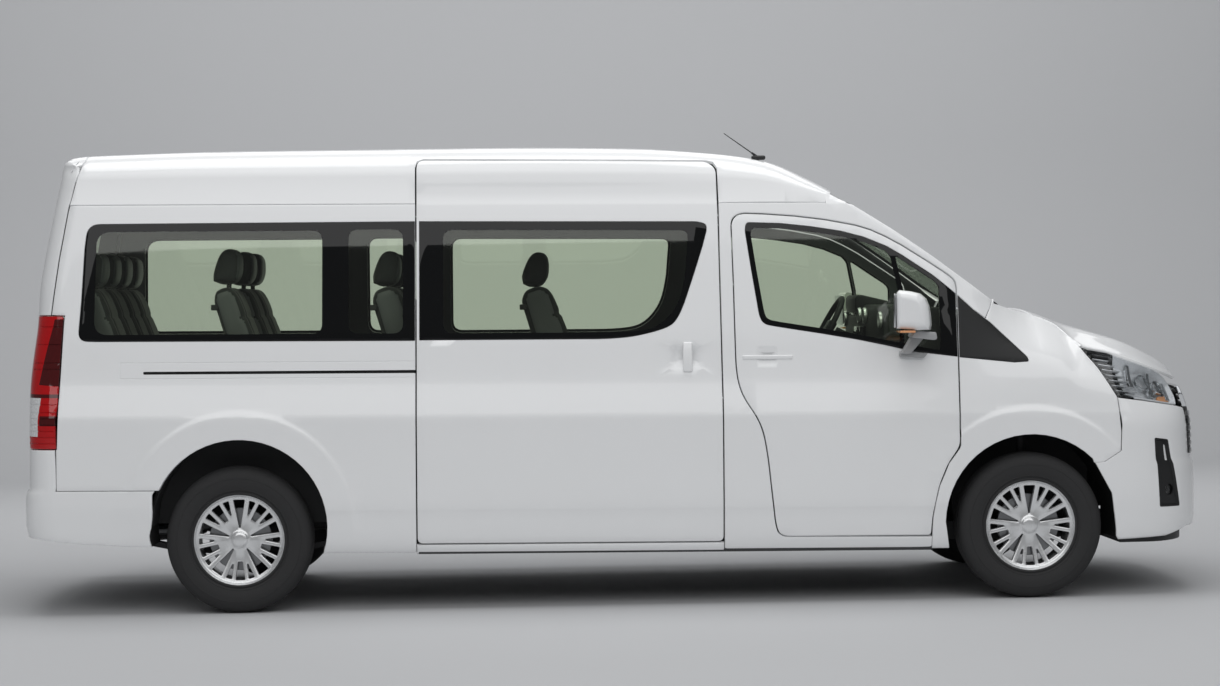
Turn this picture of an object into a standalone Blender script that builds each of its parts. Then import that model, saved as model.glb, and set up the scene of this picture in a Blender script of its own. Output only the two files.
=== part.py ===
"""High-roof, long-wheelbase passenger van: body panels, doors, glass, seats and running gear.

Metres, +Z up. +X is the front of the van and its right-hand side is -Y.
The origin is on the ground, in the middle of the van's length and width.
The body is drawn level, on an empty that stands it slightly nose-down on its springs.
"""
import math

import bmesh
import bpy
import numpy as np
from mathutils import Vector

# ---------------------------------------------------------------- driving sizes
RIGHT, LEFT = -1.0, 1.0
RAKE = math.radians(0.6)          # nose-down stance of the unladen body
BODY_SHIFT_X = -0.0105            # brings the middle of the body's length to the origin

WHEELBASE = 3.860
FRONT_AXLE_X = 2.0345
REAR_AXLE_X = FRONT_AXLE_X - WHEELBASE
TRACK = 1.660                     # between the wheels' middle planes
TYRE_RADIUS = 0.356
TYRE_WIDTH = 0.225
RIM_SEAT_RADIUS = 0.212           # where the tyre's inner edge sits on the rim
KINGPIN_Y = TRACK / 2 - 0.055     # the steering axis, inboard of the wheel's middle plane
HUB_RADIUS = 0.060
BRAKE_RADIUS = 0.150
KNUCKLE_RADIUS = 0.024
STRUT_TOP_Z = 0.780

WALL = 0.055                      # whole thickness of a side wall or door
GLASS = 0.005                     # thickness of every pane
SEAT_GAP = 0.0004                 # between pieces that touch
FLAT_LIMIT = 0.0005               # radians; a face bent by more is split into flat ones
SHUT_GAP = 0.006                  # round a door or lid that opens
PLUG_TAPER = 0.20                 # a door's edge closes in by this much per metre of depth

FLOOR_TOP = 0.560
FLOOR_THICK = 0.060
RAIL_BOTTOM = 0.400               # underside of the frame rails
ROOF_JOINT_Z = 1.965              # seam between the high roof and the body side
TAILGATE_SEAM_X = -2.575          # seam across the roof, where the tailgate is hinged
HEADER_X = 1.050                  # front edge of the roof, above the windscreen
PILLAR_BASE_X = 1.877             # foot of the windscreen pillar
NOSE_START_X = 2.300              # the body side starts to turn in to the nose here
NOSE_POWER = 3.4                  # squareness of the nose seen from above, at the bumper
LIP_POWER = 2.5                   # and at the bonnet's lip
ARCH_CENTRE_Z = 0.400
ARCH_RADIUS = 0.425
ARCH_STEPS = 12
LINER_RADIUS = ARCH_RADIUS + 0.016  # inner arch over each wheel
LINER_THICK = 0.009
LINER_ROOM = LINER_RADIUS + 0.0065
LINER_INNER_Y = 0.500
LINER_OUTER_Y = 0.920
REAR_ARCH_X = -1.815
FRONT_ARCH_X = 2.045
REAR_CORNER = 0.140               # plan radius of the body's rear corners
REAR_CROWN = 0.050                # bulge of the rear face across its width

# ------------------------------------------------------------- section tables
# half width of the body side by height: (z, amidships, at the front wheels)
SIDE_PROFILE = [
    (0.262, 0.930, 0.915),
    (0.480, 0.966, 0.945),
    (0.935, 0.975, 0.955),
    (1.105, 0.944, 0.935),
    (1.300, 0.926, 0.885),
    (1.450, 0.909, 0.850),
    (1.870, 0.861, 0.770),
    (1.965, 0.850, 0.755),
    (2.120, 0.832, 0.735),
    (2.166, 0.815, 0.715),
    (2.206, 0.775, 0.680),
    (2.245, 0.680, 0.600),
]
# middle of the van's top by length: (x, z), roof, then windscreen, then bonnet
CREST = [
    (-2.575, 2.251),
    (-2.000, 2.270),
    (-1.200, 2.277),
    (-0.400, 2.280),
    (0.100, 2.275),
    (0.500, 2.248),
    (0.820, 2.195),
    (1.050, 2.114),
]
# upper edge of the windscreen pillar, seen from the side: (x, z)
PILLAR_LINE = [
    (1.050, 2.050),
    (1.183, 1.975),
    (1.380, 1.851),
    (1.580, 1.716),
    (1.780, 1.572),
    (1.877, 1.492),
]
# rear face at the middle of the width: (z, x), bumper, tailgate, roof edge
REAR_PROFILE = [
    (0.316, -2.900),
    (0.409, -2.941),
    (0.580, -2.933),
    (0.759, -2.916),
    (1.049, -2.916),
    (1.368, -2.883),
    (1.608, -2.852),
    (1.847, -2.810),
    (2.086, -2.763),
    (2.166, -2.743),
    (2.206, -2.693),
    (2.245, -2.585),
]
# front face at the middle of the width: (z, x), bumper, grille, bonnet's lip
NOSE_PROFILE = [
    (0.262, 2.890),
    (0.330, 2.950),
    (0.400, 2.972),
    (0.690, 2.965),
    (0.900, 2.960),
    (0.985, 2.950),
    (1.100, 2.905),
    (1.300, 2.860),
]
# bonnet: (x, z at the middle, z at its edge)
BONNET_STATIONS = [
    (2.085, 1.447, 1.415),
    (2.200, 1.410, 1.372),
    (2.310, 1.372, 1.256),
    (2.434, 1.334, 1.225),
    (2.586, 1.290, 1.174),
    (2.729, 1.223, 1.122),
    (2.830, 1.165, 1.090),
    (2.890, 1.112, 1.080),
]
# half width of the shoulder line that the bonnet's edge follows as far as the nose: (x, y)
SHOULDER = [
    (1.877, 0.740),
    (2.085, 0.700),
    (2.200, 0.720),
    (2.310, 0.862),
]

# ------------------------------------------------- outlines seen from the side
FRONT_DOOR = [
    (0.583, 1.867), (0.625, 1.913), (0.894, 1.899), (1.193, 1.853), (1.417, 1.755),
    (1.679, 1.582), (1.690, 1.500), (1.690, 0.770), (1.632, 0.687), (1.586, 0.577),
    (1.556, 0.429), (1.550, 0.333), (0.836, 0.333), (0.787, 0.388), (0.751, 0.719),
    (0.698, 0.919), (0.611, 1.077), (0.595, 1.336),
]
SLIDING_DOOR = [
    (-0.955, 2.150), (-0.925, 2.184), (0.466, 2.171), (0.514, 2.120), (0.533, 1.000),
    (0.536, 0.345), (0.500, 0.310), (-0.950, 0.310),
]
FRONT_GLASS = [
    (0.655, 1.868), (0.822, 1.862), (1.121, 1.824), (1.346, 1.748), (1.571, 1.605),
    (1.672, 1.520), (1.672, 1.222), (1.457, 1.235), (1.195, 1.293), (0.737, 1.370),
    (0.705, 1.440),
]
FRONT_WINDOW = [
    (0.700, 1.825), (0.972, 1.815), (1.234, 1.760), (1.348, 1.700), (1.385, 1.520),
    (1.385, 1.300), (1.195, 1.333), (0.790, 1.400), (0.750, 1.450),
]
QUARTER_LIGHT = [
    (1.395, 1.680), (1.560, 1.570), (1.600, 1.520), (1.590, 1.330), (1.420, 1.340),
    (1.420, 1.540),
]
REAR_GLASS = [
    (-2.498, 1.870), (-2.545, 1.833), (-2.581, 1.438), (-2.588, 1.357), (-2.534, 1.305),
    (-0.990, 1.305), (-0.990, 1.874),
]
REAR_WINDOWS = [
    [(-2.460, 1.830), (-2.500, 1.790), (-2.500, 1.380), (-2.460, 1.340), (-1.460, 1.340),
     (-1.415, 1.380), (-1.415, 1.790), (-1.460, 1.830)],
    [(-1.280, 1.838), (-1.280, 1.338), (-1.040, 1.338), (-1.040, 1.838)],
]
SLIDING_GLASS = [
    (-0.915, 1.874), (0.433, 1.873), (0.463, 1.839), (0.399, 1.621), (0.321, 1.409),
    (0.285, 1.370), (0.084, 1.313), (-0.043, 1.304), (-0.915, 1.305),
]
SLIDING_WINDOW = [
    (-0.822, 1.838), (0.370, 1.822), (0.357, 1.621), (0.270, 1.460), (0.133, 1.340),
    (-0.825, 1.335),
]
HEADLAMP = [
    (2.312, 1.250), (2.434, 1.220), (2.586, 1.169), (2.729, 1.117), (2.769, 1.073),
    (2.795, 1.007), (2.799, 0.958), (2.596, 0.988), (2.468, 1.004), (2.383, 1.146),
]
TAIL_LAMP = [
    (-2.900, 1.429), (-2.658, 1.427), (-2.661, 1.401), (-2.684, 0.994), (-2.692, 0.785),
    (-2.980, 0.785),
]
# tailgate's side edge from the lamp's top up to the roof
TAILGATE_EDGE = [
    (-2.724, 1.4295), (-2.714, 1.513), (-2.687, 1.711), (-2.648, 1.933), (-2.610, 2.081),
    (-2.575, 2.180), (-2.575, 2.400),
]
# bumper's rear edge, from the wheel arch up to the headlamp
BUMPER_EDGE = [
    (2.461, 0.280), (2.461, 0.321), (2.435, 0.535), (2.352, 0.684), (2.400, 0.688),
    (2.483, 0.742), (2.486, 0.837), (2.476, 0.938), (2.469, 1.0035),
]
REAR_BUMPER_TOP = 0.580
REAR_BUMPER_FRONT_X = -2.215
TAILGATE_BOTTOM = 0.589
TAILGATE_HALF_WIDTH = 0.790       # between the tail lamps
TAILGATE_HINGE_Y = 0.360          # of its two hinges
DOOR_HINGE_HEIGHTS = (0.860, 1.200)
BONNET_THICK = 0.030
ROOF_THICK = 0.040
BUMPER_THICK = 0.045

ROOF_REFERENCE = max(z for x, z in CREST)  # the upper rows of SIDE_PROFILE are drawn for it
SIDE_ROWS = [0.262, 0.480, 0.935, 1.105, 1.300, 1.870, 1.965, 2.120, 2.166, 2.206]
QUARTER_STATIONS = [-2.820, -2.420, -2.000]
FENDER_STATIONS = [1.500, 1.690, 1.877, 2.085, 2.200]
NOSE_STEPS = [0.12, 0.26, 0.42, 0.58, 0.74, 0.88, 1.0]
ROOF_ROWS = [1.965, 2.120, 2.166, 2.206, 2.245]
TAILGATE_ROWS = [TAILGATE_BOTTOM, 0.759, 1.049, 1.368, 1.847, 1.965, 2.120, 2.166, 2.206, 2.230,
                 2.245]
ROOF_CROWN_STEPS = [0.62, 0.30, 0.0]
BONNET_SHARES = [1.0, 0.93, 0.82, 0.66, 0.44, 0.22, 0.0]


# ------------------------------------------------------------------ the surface
def column(rows, at, index):
    """Value of a section table's column at a place, straight between its rows."""
    return float(np.interp(at, [row[0] for row in rows], [row[index] for row in rows]))


def ramp(value, start, end):
    """Smooth step from 0 at start to 1 at end."""
    step = min(1.0, max(0.0, (value - start) / (end - start)))
    return step * step * (3.0 - 2.0 * step)


def roof_scale(x):
    """How tall the roof's side is at a station, as a share of its reference height."""
    return (column(CREST, x, 1) - ROOF_JOINT_Z) / (ROOF_REFERENCE - ROOF_JOINT_Z)


def row_height(x, row):
    """Real height of a SIDE_PROFILE row: above the roof's seam it follows the crest."""
    if row <= ROOF_JOINT_Z:
        return row
    return ROOF_JOINT_Z + (row - ROOF_JOINT_Z) * roof_scale(x)


def half_width(x, z):
    """Half width of the body side at a station and height."""
    row = z
    if z > ROOF_JOINT_Z and x <= HEADER_X:
        row = ROOF_JOINT_Z + (z - ROOF_JOINT_Z) / roof_scale(x)
    middle = column(SIDE_PROFILE, row, 1)
    front = column(SIDE_PROFILE, row, 2)
    width = middle + (front - middle) * ramp(x, 1.45, 2.10)
    width -= 0.018 * min(1.0, max(0.0, (-2.0 - x) / 0.75)) ** 2
    if x > PILLAR_BASE_X - 0.10:
        edge_z = column(BONNET_STATIONS, x, 2) + 0.25 * max(0.0, 2.085 - x)
        edge_y = column(SHOULDER, x, 1)
        share = min(1.0, max(0.0, (z - edge_z + 0.25) / 0.25))
        pull = ramp(x, PILLAR_BASE_X - 0.10, 2.085)
        width -= pull * (width - edge_y) * share ** 2.5
    return width


def side_point(x, row):
    z = row_height(x, row)
    return (x, half_width(x, z), z)


def nose_power(z):
    """Squareness of the nose at a height, from the bumper up to the bonnet's lip."""
    return NOSE_POWER + (LIP_POWER - NOSE_POWER) * ramp(z, 0.85, 1.10)


def nose_half_width(x, z):
    """Half width of the nose at a station ahead of NOSE_START_X."""
    front_x = column(NOSE_PROFILE, z, 1)
    share = min(1.0, (x - NOSE_START_X) / (front_x - NOSE_START_X))
    power = nose_power(z)
    return half_width(NOSE_START_X, z) * (1.0 - share ** power) ** (1.0 / power)


def bonnet_half_section(x, reach=1.0):
    """Half of the bonnet's section, from its edge up to the middle."""
    middle_z = column(BONNET_STATIONS, x, 1)
    edge_z = column(BONNET_STATIONS, x, 2)
    edge_y = column(SHOULDER, x, 1) if x < NOSE_START_X + 0.02 else nose_half_width(x, edge_z)
    points = []
    for share in BONNET_SHARES:
        share = share * reach
        points.append((x, edge_y * share, middle_z - (middle_z - edge_z) * share ** 2.6))
    return points


def nose_point(step, z):
    """Plan curve of the nose at a height: step 0 at the side, 1 at the middle."""
    start_y = half_width(NOSE_START_X, z)
    front_x = column(NOSE_PROFILE, z, 1)
    angle = step * math.pi / 2
    power = 2.0 / nose_power(z)
    x = NOSE_START_X + (front_x - NOSE_START_X) * math.sin(angle) ** power
    y = start_y * max(0.0, math.cos(angle)) ** power
    return (x, y, z)


def rear_point(kind, step, row):
    """Rear face (step 0 at the middle), then its corner, then the side just ahead of it."""
    z = row_height(TAILGATE_SEAM_X, row)
    face_x = column(REAR_PROFILE, z, 1)
    width = half_width(-2.60, z)
    bend = min(REAR_CORNER, 0.9 * (width - 0.45))
    flat = width - bend
    if kind == "face":
        y = flat * step
        x = face_x + REAR_CROWN * (y / 0.85) ** 2
    else:
        corner_x = face_x + REAR_CROWN * (flat / 0.85) ** 2 + bend
        if kind == "corner":
            x = corner_x - bend * math.cos(step * math.pi / 2)
            y = flat + bend * math.sin(step * math.pi / 2)
        else:
            x = corner_x + step
            y = width
    lift = 0.032 * ramp(row, 2.10, 2.245)
    z += lift * (1.0 - min(1.0, (y / 0.68) ** 2))
    return (x, y, z)


def roof_half_section(x):
    """Half of the roof's section, from the seam on the side up to the middle."""
    points = [side_point(x, row) for row in ROOF_ROWS]
    edge_y, edge_z = points[-1][1], points[-1][2]
    crest = column(CREST, x, 1)
    for share in ROOF_CROWN_STEPS:
        points.append((x, edge_y * share, crest - (crest - edge_z) * share ** 2))
    return points


# --------------------------------------------------------------- making objects
VAN = bpy.data.collections.new("van")
CUTTERS = bpy.data.collections.new("cutters")
# name: (colour, metallic, roughness)
PAINTS = {
    "white_paint": ((0.82, 0.83, 0.84), 0.0, 0.25),
    "black_plastic": ((0.02, 0.02, 0.022), 0.0, 0.55),
    "tinted_glass": ((0.10, 0.13, 0.12), 0.0, 0.05),
    "clear_glass": ((0.45, 0.52, 0.50), 0.0, 0.05),
    "lamp_lens": ((0.75, 0.76, 0.78), 0.0, 0.08),
    "red_lens": ((0.45, 0.02, 0.03), 0.0, 0.12),
    "dark_chrome": ((0.25, 0.25, 0.27), 1.0, 0.25),
    "alloy": ((0.52, 0.53, 0.54), 1.0, 0.35),
    "tyre_rubber": ((0.015, 0.015, 0.016), 0.0, 0.80),
    "grey_fabric": ((0.16, 0.16, 0.17), 0.0, 0.90),
    "dark_trim": ((0.06, 0.06, 0.065), 0.0, 0.70),
    "bare_steel": ((0.20, 0.20, 0.21), 0.9, 0.45),
    "cast_iron": ((0.10, 0.10, 0.10), 0.8, 0.60),
}


def clear_scene():
    for item in list(bpy.data.objects):
        bpy.data.objects.remove(item, do_unlink=True)


def paint(name):
    if name in bpy.data.materials:
        return bpy.data.materials[name]
    colour, metallic, roughness = PAINTS[name]
    material = bpy.data.materials.new(name)
    material.use_nodes = True
    shader = material.node_tree.nodes["Principled BSDF"]
    shader.inputs["Base Color"].default_value = (*colour, 1.0)
    shader.inputs["Metallic"].default_value = metallic
    shader.inputs["Roughness"].default_value = roughness
    return material


def add_pair(name, mesh, material, parent=None):
    """A right-hand sub-part and its mirror image on the left."""
    other = mesh.copy()
    flip(other)
    add_part(name + "_right", mesh, material, parent)
    add_part(name + "_left", other, material, parent)


def finish_mesh(bm, name):
    bmesh.ops.connect_verts_nonplanar(bm, angle_limit=FLAT_LIMIT, faces=bm.faces)
    bmesh.ops.recalc_face_normals(bm, faces=bm.faces)
    mesh = bpy.data.meshes.new(name)
    bm.to_mesh(mesh)
    bm.free()
    return mesh


def add_part(name, mesh, material, parent=None):
    """A named sub-part with its own material."""
    item = bpy.data.objects.new(name, mesh)
    own = paint(material).copy()
    own.name = name + "_" + material
    mesh.materials.clear()
    mesh.materials.append(own)
    VAN.objects.link(item)
    item.parent = parent
    return item


def combine(name, base, others, operation):
    """Boolean of one mesh with others; the working objects are removed again."""
    bpy.context.view_layer.update()
    work = bpy.data.objects.new(name, base)
    CUTTERS.objects.link(work)
    helpers = []
    for other in others:
        helper = bpy.data.objects.new("cutter", other)
        CUTTERS.objects.link(helper)
        helpers.append(helper)
        modifier = work.modifiers.new("boolean", "BOOLEAN")
        modifier.operation = operation
        modifier.object = helper
    bpy.context.view_layer.update()
    evaluated = work.evaluated_get(bpy.context.evaluated_depsgraph_get())
    result = bpy.data.meshes.new_from_object(evaluated)
    result.name = name
    for item in [work] + helpers:
        bpy.data.objects.remove(item, do_unlink=True)
    return result


def intersect(name, base, others):
    return combine(name, base, others, "INTERSECT")


def subtract(name, base, others):
    return combine(name, base, others, "DIFFERENCE")


def unite(name, base, others):
    return combine(name, base, others, "UNION")


def grid_normals(grid):
    """Outward unit normals of a grid of points, from its neighbours' differences."""
    along = np.gradient(grid, axis=0)
    across = np.gradient(grid, axis=1)
    normals = np.cross(along, across)
    length = np.linalg.norm(normals, axis=2, keepdims=True)
    normals = normals / np.maximum(length, 1e-9)
    centre = np.array([0.0, 0.0, 1.0])
    middle = grid[grid.shape[0] // 2, grid.shape[1] // 2]
    toward = normals[grid.shape[0] // 2, grid.shape[1] // 2] @ (middle - centre)
    return normals if toward > 0 else -normals


def shell(name, rows, thick, out=0.0):
    """Closed sheet under a grid of points: from out above it to thick below it."""
    grid = np.array(rows, dtype=float)
    normals = grid_normals(grid)
    outer = grid + normals * out
    inner = grid - normals * thick
    count_i, count_j = grid.shape[0], grid.shape[1]
    bm = bmesh.new()
    layers = []
    for layer in (outer, inner):
        layers.append([[bm.verts.new(layer[i, j]) for j in range(count_j)] for i in range(count_i)])
    for i in range(count_i - 1):
        for j in range(count_j - 1):
            for layer in layers:
                corners = (layer[i][j], layer[i + 1][j], layer[i + 1][j + 1], layer[i][j + 1])
                bm.faces.new(corners[:3])
                bm.faces.new((corners[0], corners[2], corners[3]))
    top, low = layers
    rim = [(i, 0) for i in range(count_i)]
    rim += [(count_i - 1, j) for j in range(1, count_j)]
    rim += [(i, count_j - 1) for i in range(count_i - 2, -1, -1)]
    rim += [(0, j) for j in range(count_j - 2, 0, -1)]
    for (i, j), (k, m) in zip(rim, rim[1:] + rim[:1]):
        bm.faces.new((top[i][j], top[k][m], low[k][m], low[i][j]))
    return finish_mesh(bm, name)


def mirrored(points, side):
    return [(x, y * side, z) for x, y, z in points]


def both_sides(half):
    """A row of points from one side to the other, from its half on the left."""
    return mirrored(half[:-1], RIGHT) + mirrored(half[::-1], LEFT)


def side_shell(name, side, stations, rows, thick, out=0.0):
    grid = [mirrored([side_point(x, row) for row in rows], side) for x in stations]
    return shell(name, grid, thick, out)


def grown(outline, amount):
    """Outline moved outward by an amount, square to its edges."""
    area = sum(a[0] * b[1] - b[0] * a[1] for a, b in zip(outline, outline[1:] + outline[:1]))
    turn = 1.0 if area > 0 else -1.0
    result = []
    count = len(outline)
    for index in range(count):
        before = Vector(outline[index - 1])
        here = Vector(outline[index])
        after = Vector(outline[(index + 1) % count])
        first = (here - before).normalized()
        second = (after - here).normalized()
        normal = (Vector((first.y, -first.x)) + Vector((second.y, -second.x))) * turn
        normal.normalize()
        lean = max(0.35, normal.dot(Vector((first.y, -first.x)) * turn))
        result.append(tuple(here + normal * (amount / lean)))
    return result


def loft_outline(name, first, second):
    """Solid between two like loops of points."""
    bm = bmesh.new()
    loops = [[bm.verts.new(point) for point in loop] for loop in (first, second)]
    count = len(first)
    for index in range(count):
        after = (index + 1) % count
        corners = (loops[0][index], loops[0][after], loops[1][after], loops[1][index])
        bm.faces.new(corners[:3])
        bm.faces.new((corners[0], corners[2], corners[3]))
    caps = [bm.faces.new(loop) for loop in loops]
    bmesh.ops.triangulate(bm, faces=caps, ngon_method="EAR_CLIP")
    return finish_mesh(bm, name)


def plug(side, outline, grow=0.0, taper=0.0, reach=0.15, sink=0.16):
    """Cutter through the body side: the outline seen from the side, closing in with depth."""
    outer = []
    inner = []
    for index, (x, z) in enumerate(outline):
        skin = half_width(x, z)
        wide = grown(outline, grow + taper * reach)[index]
        tight = grown(outline, grow - taper * sink)[index]
        outer.append((wide[0], side * (skin + reach), wide[1]))
        inner.append((tight[0], side * (skin - sink), tight[1]))
    return loft_outline("plug", outer, inner)


def across(outline, y_from, y_to):
    """Solid of a side outline between two widths."""
    first = [(x, y_from, z) for x, z in outline]
    second = [(x, y_to, z) for x, z in outline]
    return loft_outline("prism", first, second)


def box(low, high):
    bm = bmesh.new()
    bmesh.ops.create_cube(bm, size=1.0)
    for vert in bm.verts:
        for axis in range(3):
            middle = (low[axis] + high[axis]) / 2
            vert.co[axis] = middle + vert.co[axis] * (high[axis] - low[axis])
    return finish_mesh(bm, "box")


def rod(start, end, radius, sides=12):
    """Round bar between two points."""
    start, end = Vector(start), Vector(end)
    bm = bmesh.new()
    bmesh.ops.create_cone(bm, cap_ends=True, segments=sides, radius1=radius, radius2=radius,
                          depth=(end - start).length)
    turn = (end - start).to_track_quat("Z", "Y").to_matrix().to_4x4()
    turn.translation = (start + end) / 2
    bmesh.ops.transform(bm, matrix=turn, verts=bm.verts)
    return finish_mesh(bm, "rod")


def arc(centre_x, centre_z, radius, start, end, steps):
    """Points along an arc, by angle in degrees from +X toward +Z."""
    result = []
    for index in range(steps + 1):
        angle = math.radians(start + (end - start) * index / steps)
        result.append((centre_x + radius * math.cos(angle), centre_z + radius * math.sin(angle)))
    return result


# ---------------------------------------------------------------- cutters shared
def tail_region(gap):
    """Everything behind the tailgate's side edge."""
    outline = [(x - gap, z) for x, z in TAILGATE_EDGE]
    outline += [(-3.3, 2.400), (-3.3, TAILGATE_EDGE[0][1])]
    return across(outline, -1.3, 1.3)


def arch_cutter(centre_x):
    """Opening of a wheel arch through both body sides."""
    outline = arc(centre_x, ARCH_CENTRE_Z, ARCH_RADIUS, -10.0, 190.0, ARCH_STEPS)
    outline += [(centre_x - ARCH_RADIUS, 0.15), (centre_x + ARCH_RADIUS, 0.15)]
    return across(outline, -1.3, 1.3)


def bonnet_grid(reach=1.0):
    return [both_sides(bonnet_half_section(row[0], reach)) for row in BONNET_STATIONS]


def bonnet_cutter():
    """The bonnet with its gap, and all that lies above and ahead of it."""
    rows = bonnet_grid(1.016)
    rows.insert(0, [(x - 3 * SHUT_GAP, y, z) for x, y, z in rows[0]])
    rows.append([(x + 0.10, y, z - 0.030) for x, y, z in rows[-1]])
    return shell("bonnet_room", rows, BONNET_THICK + 2 * SHUT_GAP, 0.08)


# ---------------------------------------------------------------- body side parts
def glazed(name, panel, side, stations, rows, glass_outline, windows):
    """Cut a panel's windows and the seat of the pane that covers them; returns the pane."""
    seat = side_shell("seat", side, stations, rows, GLASS + SEAT_GAP, 0.03)
    seat = intersect("seat", seat, [plug(side, glass_outline)])
    holes = [plug(side, window) for window in windows]
    panel = subtract(panel.name, panel, [seat] + holes)
    pane = side_shell("pane", side, stations, rows, GLASS)
    pane = intersect(name, pane, [plug(side, glass_outline, grow=-SEAT_GAP)])
    return panel, pane


def fender_grid(side):
    rows = [0.262, 0.480, 0.935, 1.105, 1.200, 1.300, 1.400, 1.495]
    grid = [mirrored([side_point(x, z) for z in rows], side) for x in FENDER_STATIONS]
    for step in (0.0, 0.12, 0.26):
        grid.append(mirrored([nose_point(step, z) for z in rows], side))
    return grid


def wheel_liner(side, centre_x, inner_y, outer_y):
    """Half-round inner arch over a wheel."""
    outline = arc(centre_x, ARCH_CENTRE_Z, LINER_RADIUS, -12.0, 192.0, 11)
    outline += arc(centre_x, ARCH_CENTRE_Z, LINER_RADIUS - LINER_THICK, 192.0, -12.0, 11)
    return across(outline, side * inner_y, side * outer_y)


DOOR_STATIONS = [0.500, 1.050, 1.450, 1.690, 1.800]
DOOR_ROWS = SIDE_ROWS[:5] + [1.450] + SIDE_ROWS[5:-3]


def door_hinges(side):
    """Fixed hinge leaves on the front post; they reach behind the door's inner face."""
    room = side_shell("room", side, DOOR_STATIONS, DOOR_ROWS, WALL + SEAT_GAP, 0.03)
    room = intersect("room", room, [box((1.5, -1.2, 0.2), (1.702, 1.2, 1.6))])
    leaves = []
    for z in DOOR_HINGE_HEIGHTS:
        skin = half_width(1.730, z + 0.060)
        edge = sorted((side * (skin - WALL - 0.030), side * (skin - 0.020)))
        leaf = box((1.625, edge[0], z), (1.755, edge[1], z + 0.060))
        leaves.append(subtract("leaf", leaf, [room]))
    return leaves


def make_fenders(body):
    side = RIGHT
    skin = shell("fender", fender_grid(side), WALL)
    outline = [
        (1.620, 1.448), (1.6945, 1.4940), (1.812, 1.3970), (1.8785, 1.4910), (2.085, 1.440),
        (2.200, 1.400), (2.325, 1.270), (2.311, 1.252), (2.382, 1.146), (2.4675, 1.004),
    ]
    outline += [(x - SEAT_GAP, z) for x, z in BUMPER_EDGE[::-1]]
    outline += [(1.5565, 0.262), (1.5565, 0.360), (1.520, 0.500), (1.580, 0.800), (1.600, 1.200)]
    skin = intersect("fender", skin, [across(outline, side * 0.4, side * 1.2)])
    skin = subtract("fender", skin, [arch_cutter(FRONT_ARCH_X), bonnet_cutter(),
                                     plug(side, FRONT_DOOR, SHUT_GAP / 2, PLUG_TAPER)])
    skin = unite("fender", skin, [wheel_liner(side, FRONT_ARCH_X, LINER_INNER_Y, LINER_OUTER_Y)])
    skin = subtract("fender", skin, [across([(2.462, 0.25), (2.462, 0.60), (2.60, 0.60),
                                             (2.60, 0.25)], -1.3, 1.3)])
    skin = unite("fender", skin, door_hinges(side))
    add_pair("fender", skin, "white_paint", body)


def make_front_frames(body):
    """B-pillar, rail above the front door and windscreen pillar."""
    side = RIGHT
    stations = [0.450, 1.050, 1.450, 1.690, 1.877, 1.950]
    rows = SIDE_ROWS[:5] + [1.450] + SIDE_ROWS[5:-2]
    skin = side_shell("frame", side, stations, rows, WALL)
    top = ROOF_JOINT_Z - SEAT_GAP
    outline = [(0.5395, 0.312), (0.5245, top), (HEADER_X, top)]
    outline += PILLAR_LINE
    outline += [(1.812, 1.400), (1.694, 1.497), (1.620, 1.4512), (0.900, 1.300), (0.900, 0.312)]
    skin = intersect("frame", skin, [across(outline, side * 0.4, side * 1.2)])
    skin = subtract("frame", skin, [plug(side, FRONT_DOOR, SHUT_GAP / 2, PLUG_TAPER)])
    add_pair("front_frame", skin, "white_paint", body)


def make_front_doors(body):
    side = RIGHT
    skin = side_shell("door", side, DOOR_STATIONS, DOOR_ROWS, WALL)
    skin = intersect("door", skin, [plug(side, FRONT_DOOR, -SHUT_GAP / 2, PLUG_TAPER)])
    skin, pane = glazed("door_glass", skin, side, DOOR_STATIONS, DOOR_ROWS, FRONT_GLASS,
                        [FRONT_WINDOW, QUARTER_LIGHT])
    add_pair("door", skin, "white_paint", body)
    add_pair("door_glass", pane, "tinted_glass", body)


def quarter_outline(front_edge):
    """Side outline of a rear quarter, less its wheel arch."""
    top = ROOF_JOINT_Z - SEAT_GAP
    outline = [(REAR_BUMPER_FRONT_X, 0.270), (REAR_BUMPER_FRONT_X, REAR_BUMPER_TOP + 0.003),
               (-2.695, REAR_BUMPER_TOP + 0.003), (-2.6915, 0.785), (-2.6835, 0.994),
               (-2.6605, 1.401), (-2.6570, 1.4295), (-2.800, 1.4295), (-2.800, top)]
    return outline + front_edge


def make_quarter_right(body):
    top = ROOF_JOINT_Z - SEAT_GAP
    rows = SIDE_ROWS[:-3]
    stations = QUARTER_STATIONS + [-0.800]
    skin = side_shell("quarter", RIGHT, stations, rows, WALL)
    outline = quarter_outline([(-0.9555, top), (-0.9505, 0.270)])
    skin = intersect("quarter", skin, [across(outline, -1.2, -0.4)])
    skin = subtract("quarter_right", skin, [arch_cutter(REAR_ARCH_X), tail_region(0.0)])
    skin, pane = glazed("quarter_glass_right", skin, RIGHT, stations, rows, REAR_GLASS,
                        REAR_WINDOWS)
    add_part("quarter_right", skin, "white_paint", body)
    add_part("quarter_glass_right", pane, "tinted_glass", body)


def make_side_left(body):
    """The whole left side behind the front door, with two panes."""
    top = ROOF_JOINT_Z - SEAT_GAP
    rows = SIDE_ROWS[:-3]
    stations = QUARTER_STATIONS + [0.600]
    skin = side_shell("side_left", LEFT, stations, rows, WALL)
    outline = quarter_outline([(0.5235, top), (0.5385, 0.270)])
    skin = intersect("side_left", skin, [across(outline, 0.4, 1.2)])
    skin = subtract("side_left", skin, [arch_cutter(REAR_ARCH_X), tail_region(0.0)])
    skin, rear = glazed("quarter_glass_left", skin, LEFT, stations, rows, REAR_GLASS,
                        REAR_WINDOWS)
    skin, middle = glazed("side_glass_left", skin, LEFT, stations, rows, SLIDING_GLASS,
                          [SLIDING_WINDOW])
    add_part("side_left", skin, "white_paint", body)
    add_part("quarter_glass_left", rear, "tinted_glass", body)
    add_part("side_glass_left", middle, "tinted_glass", body)


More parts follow.
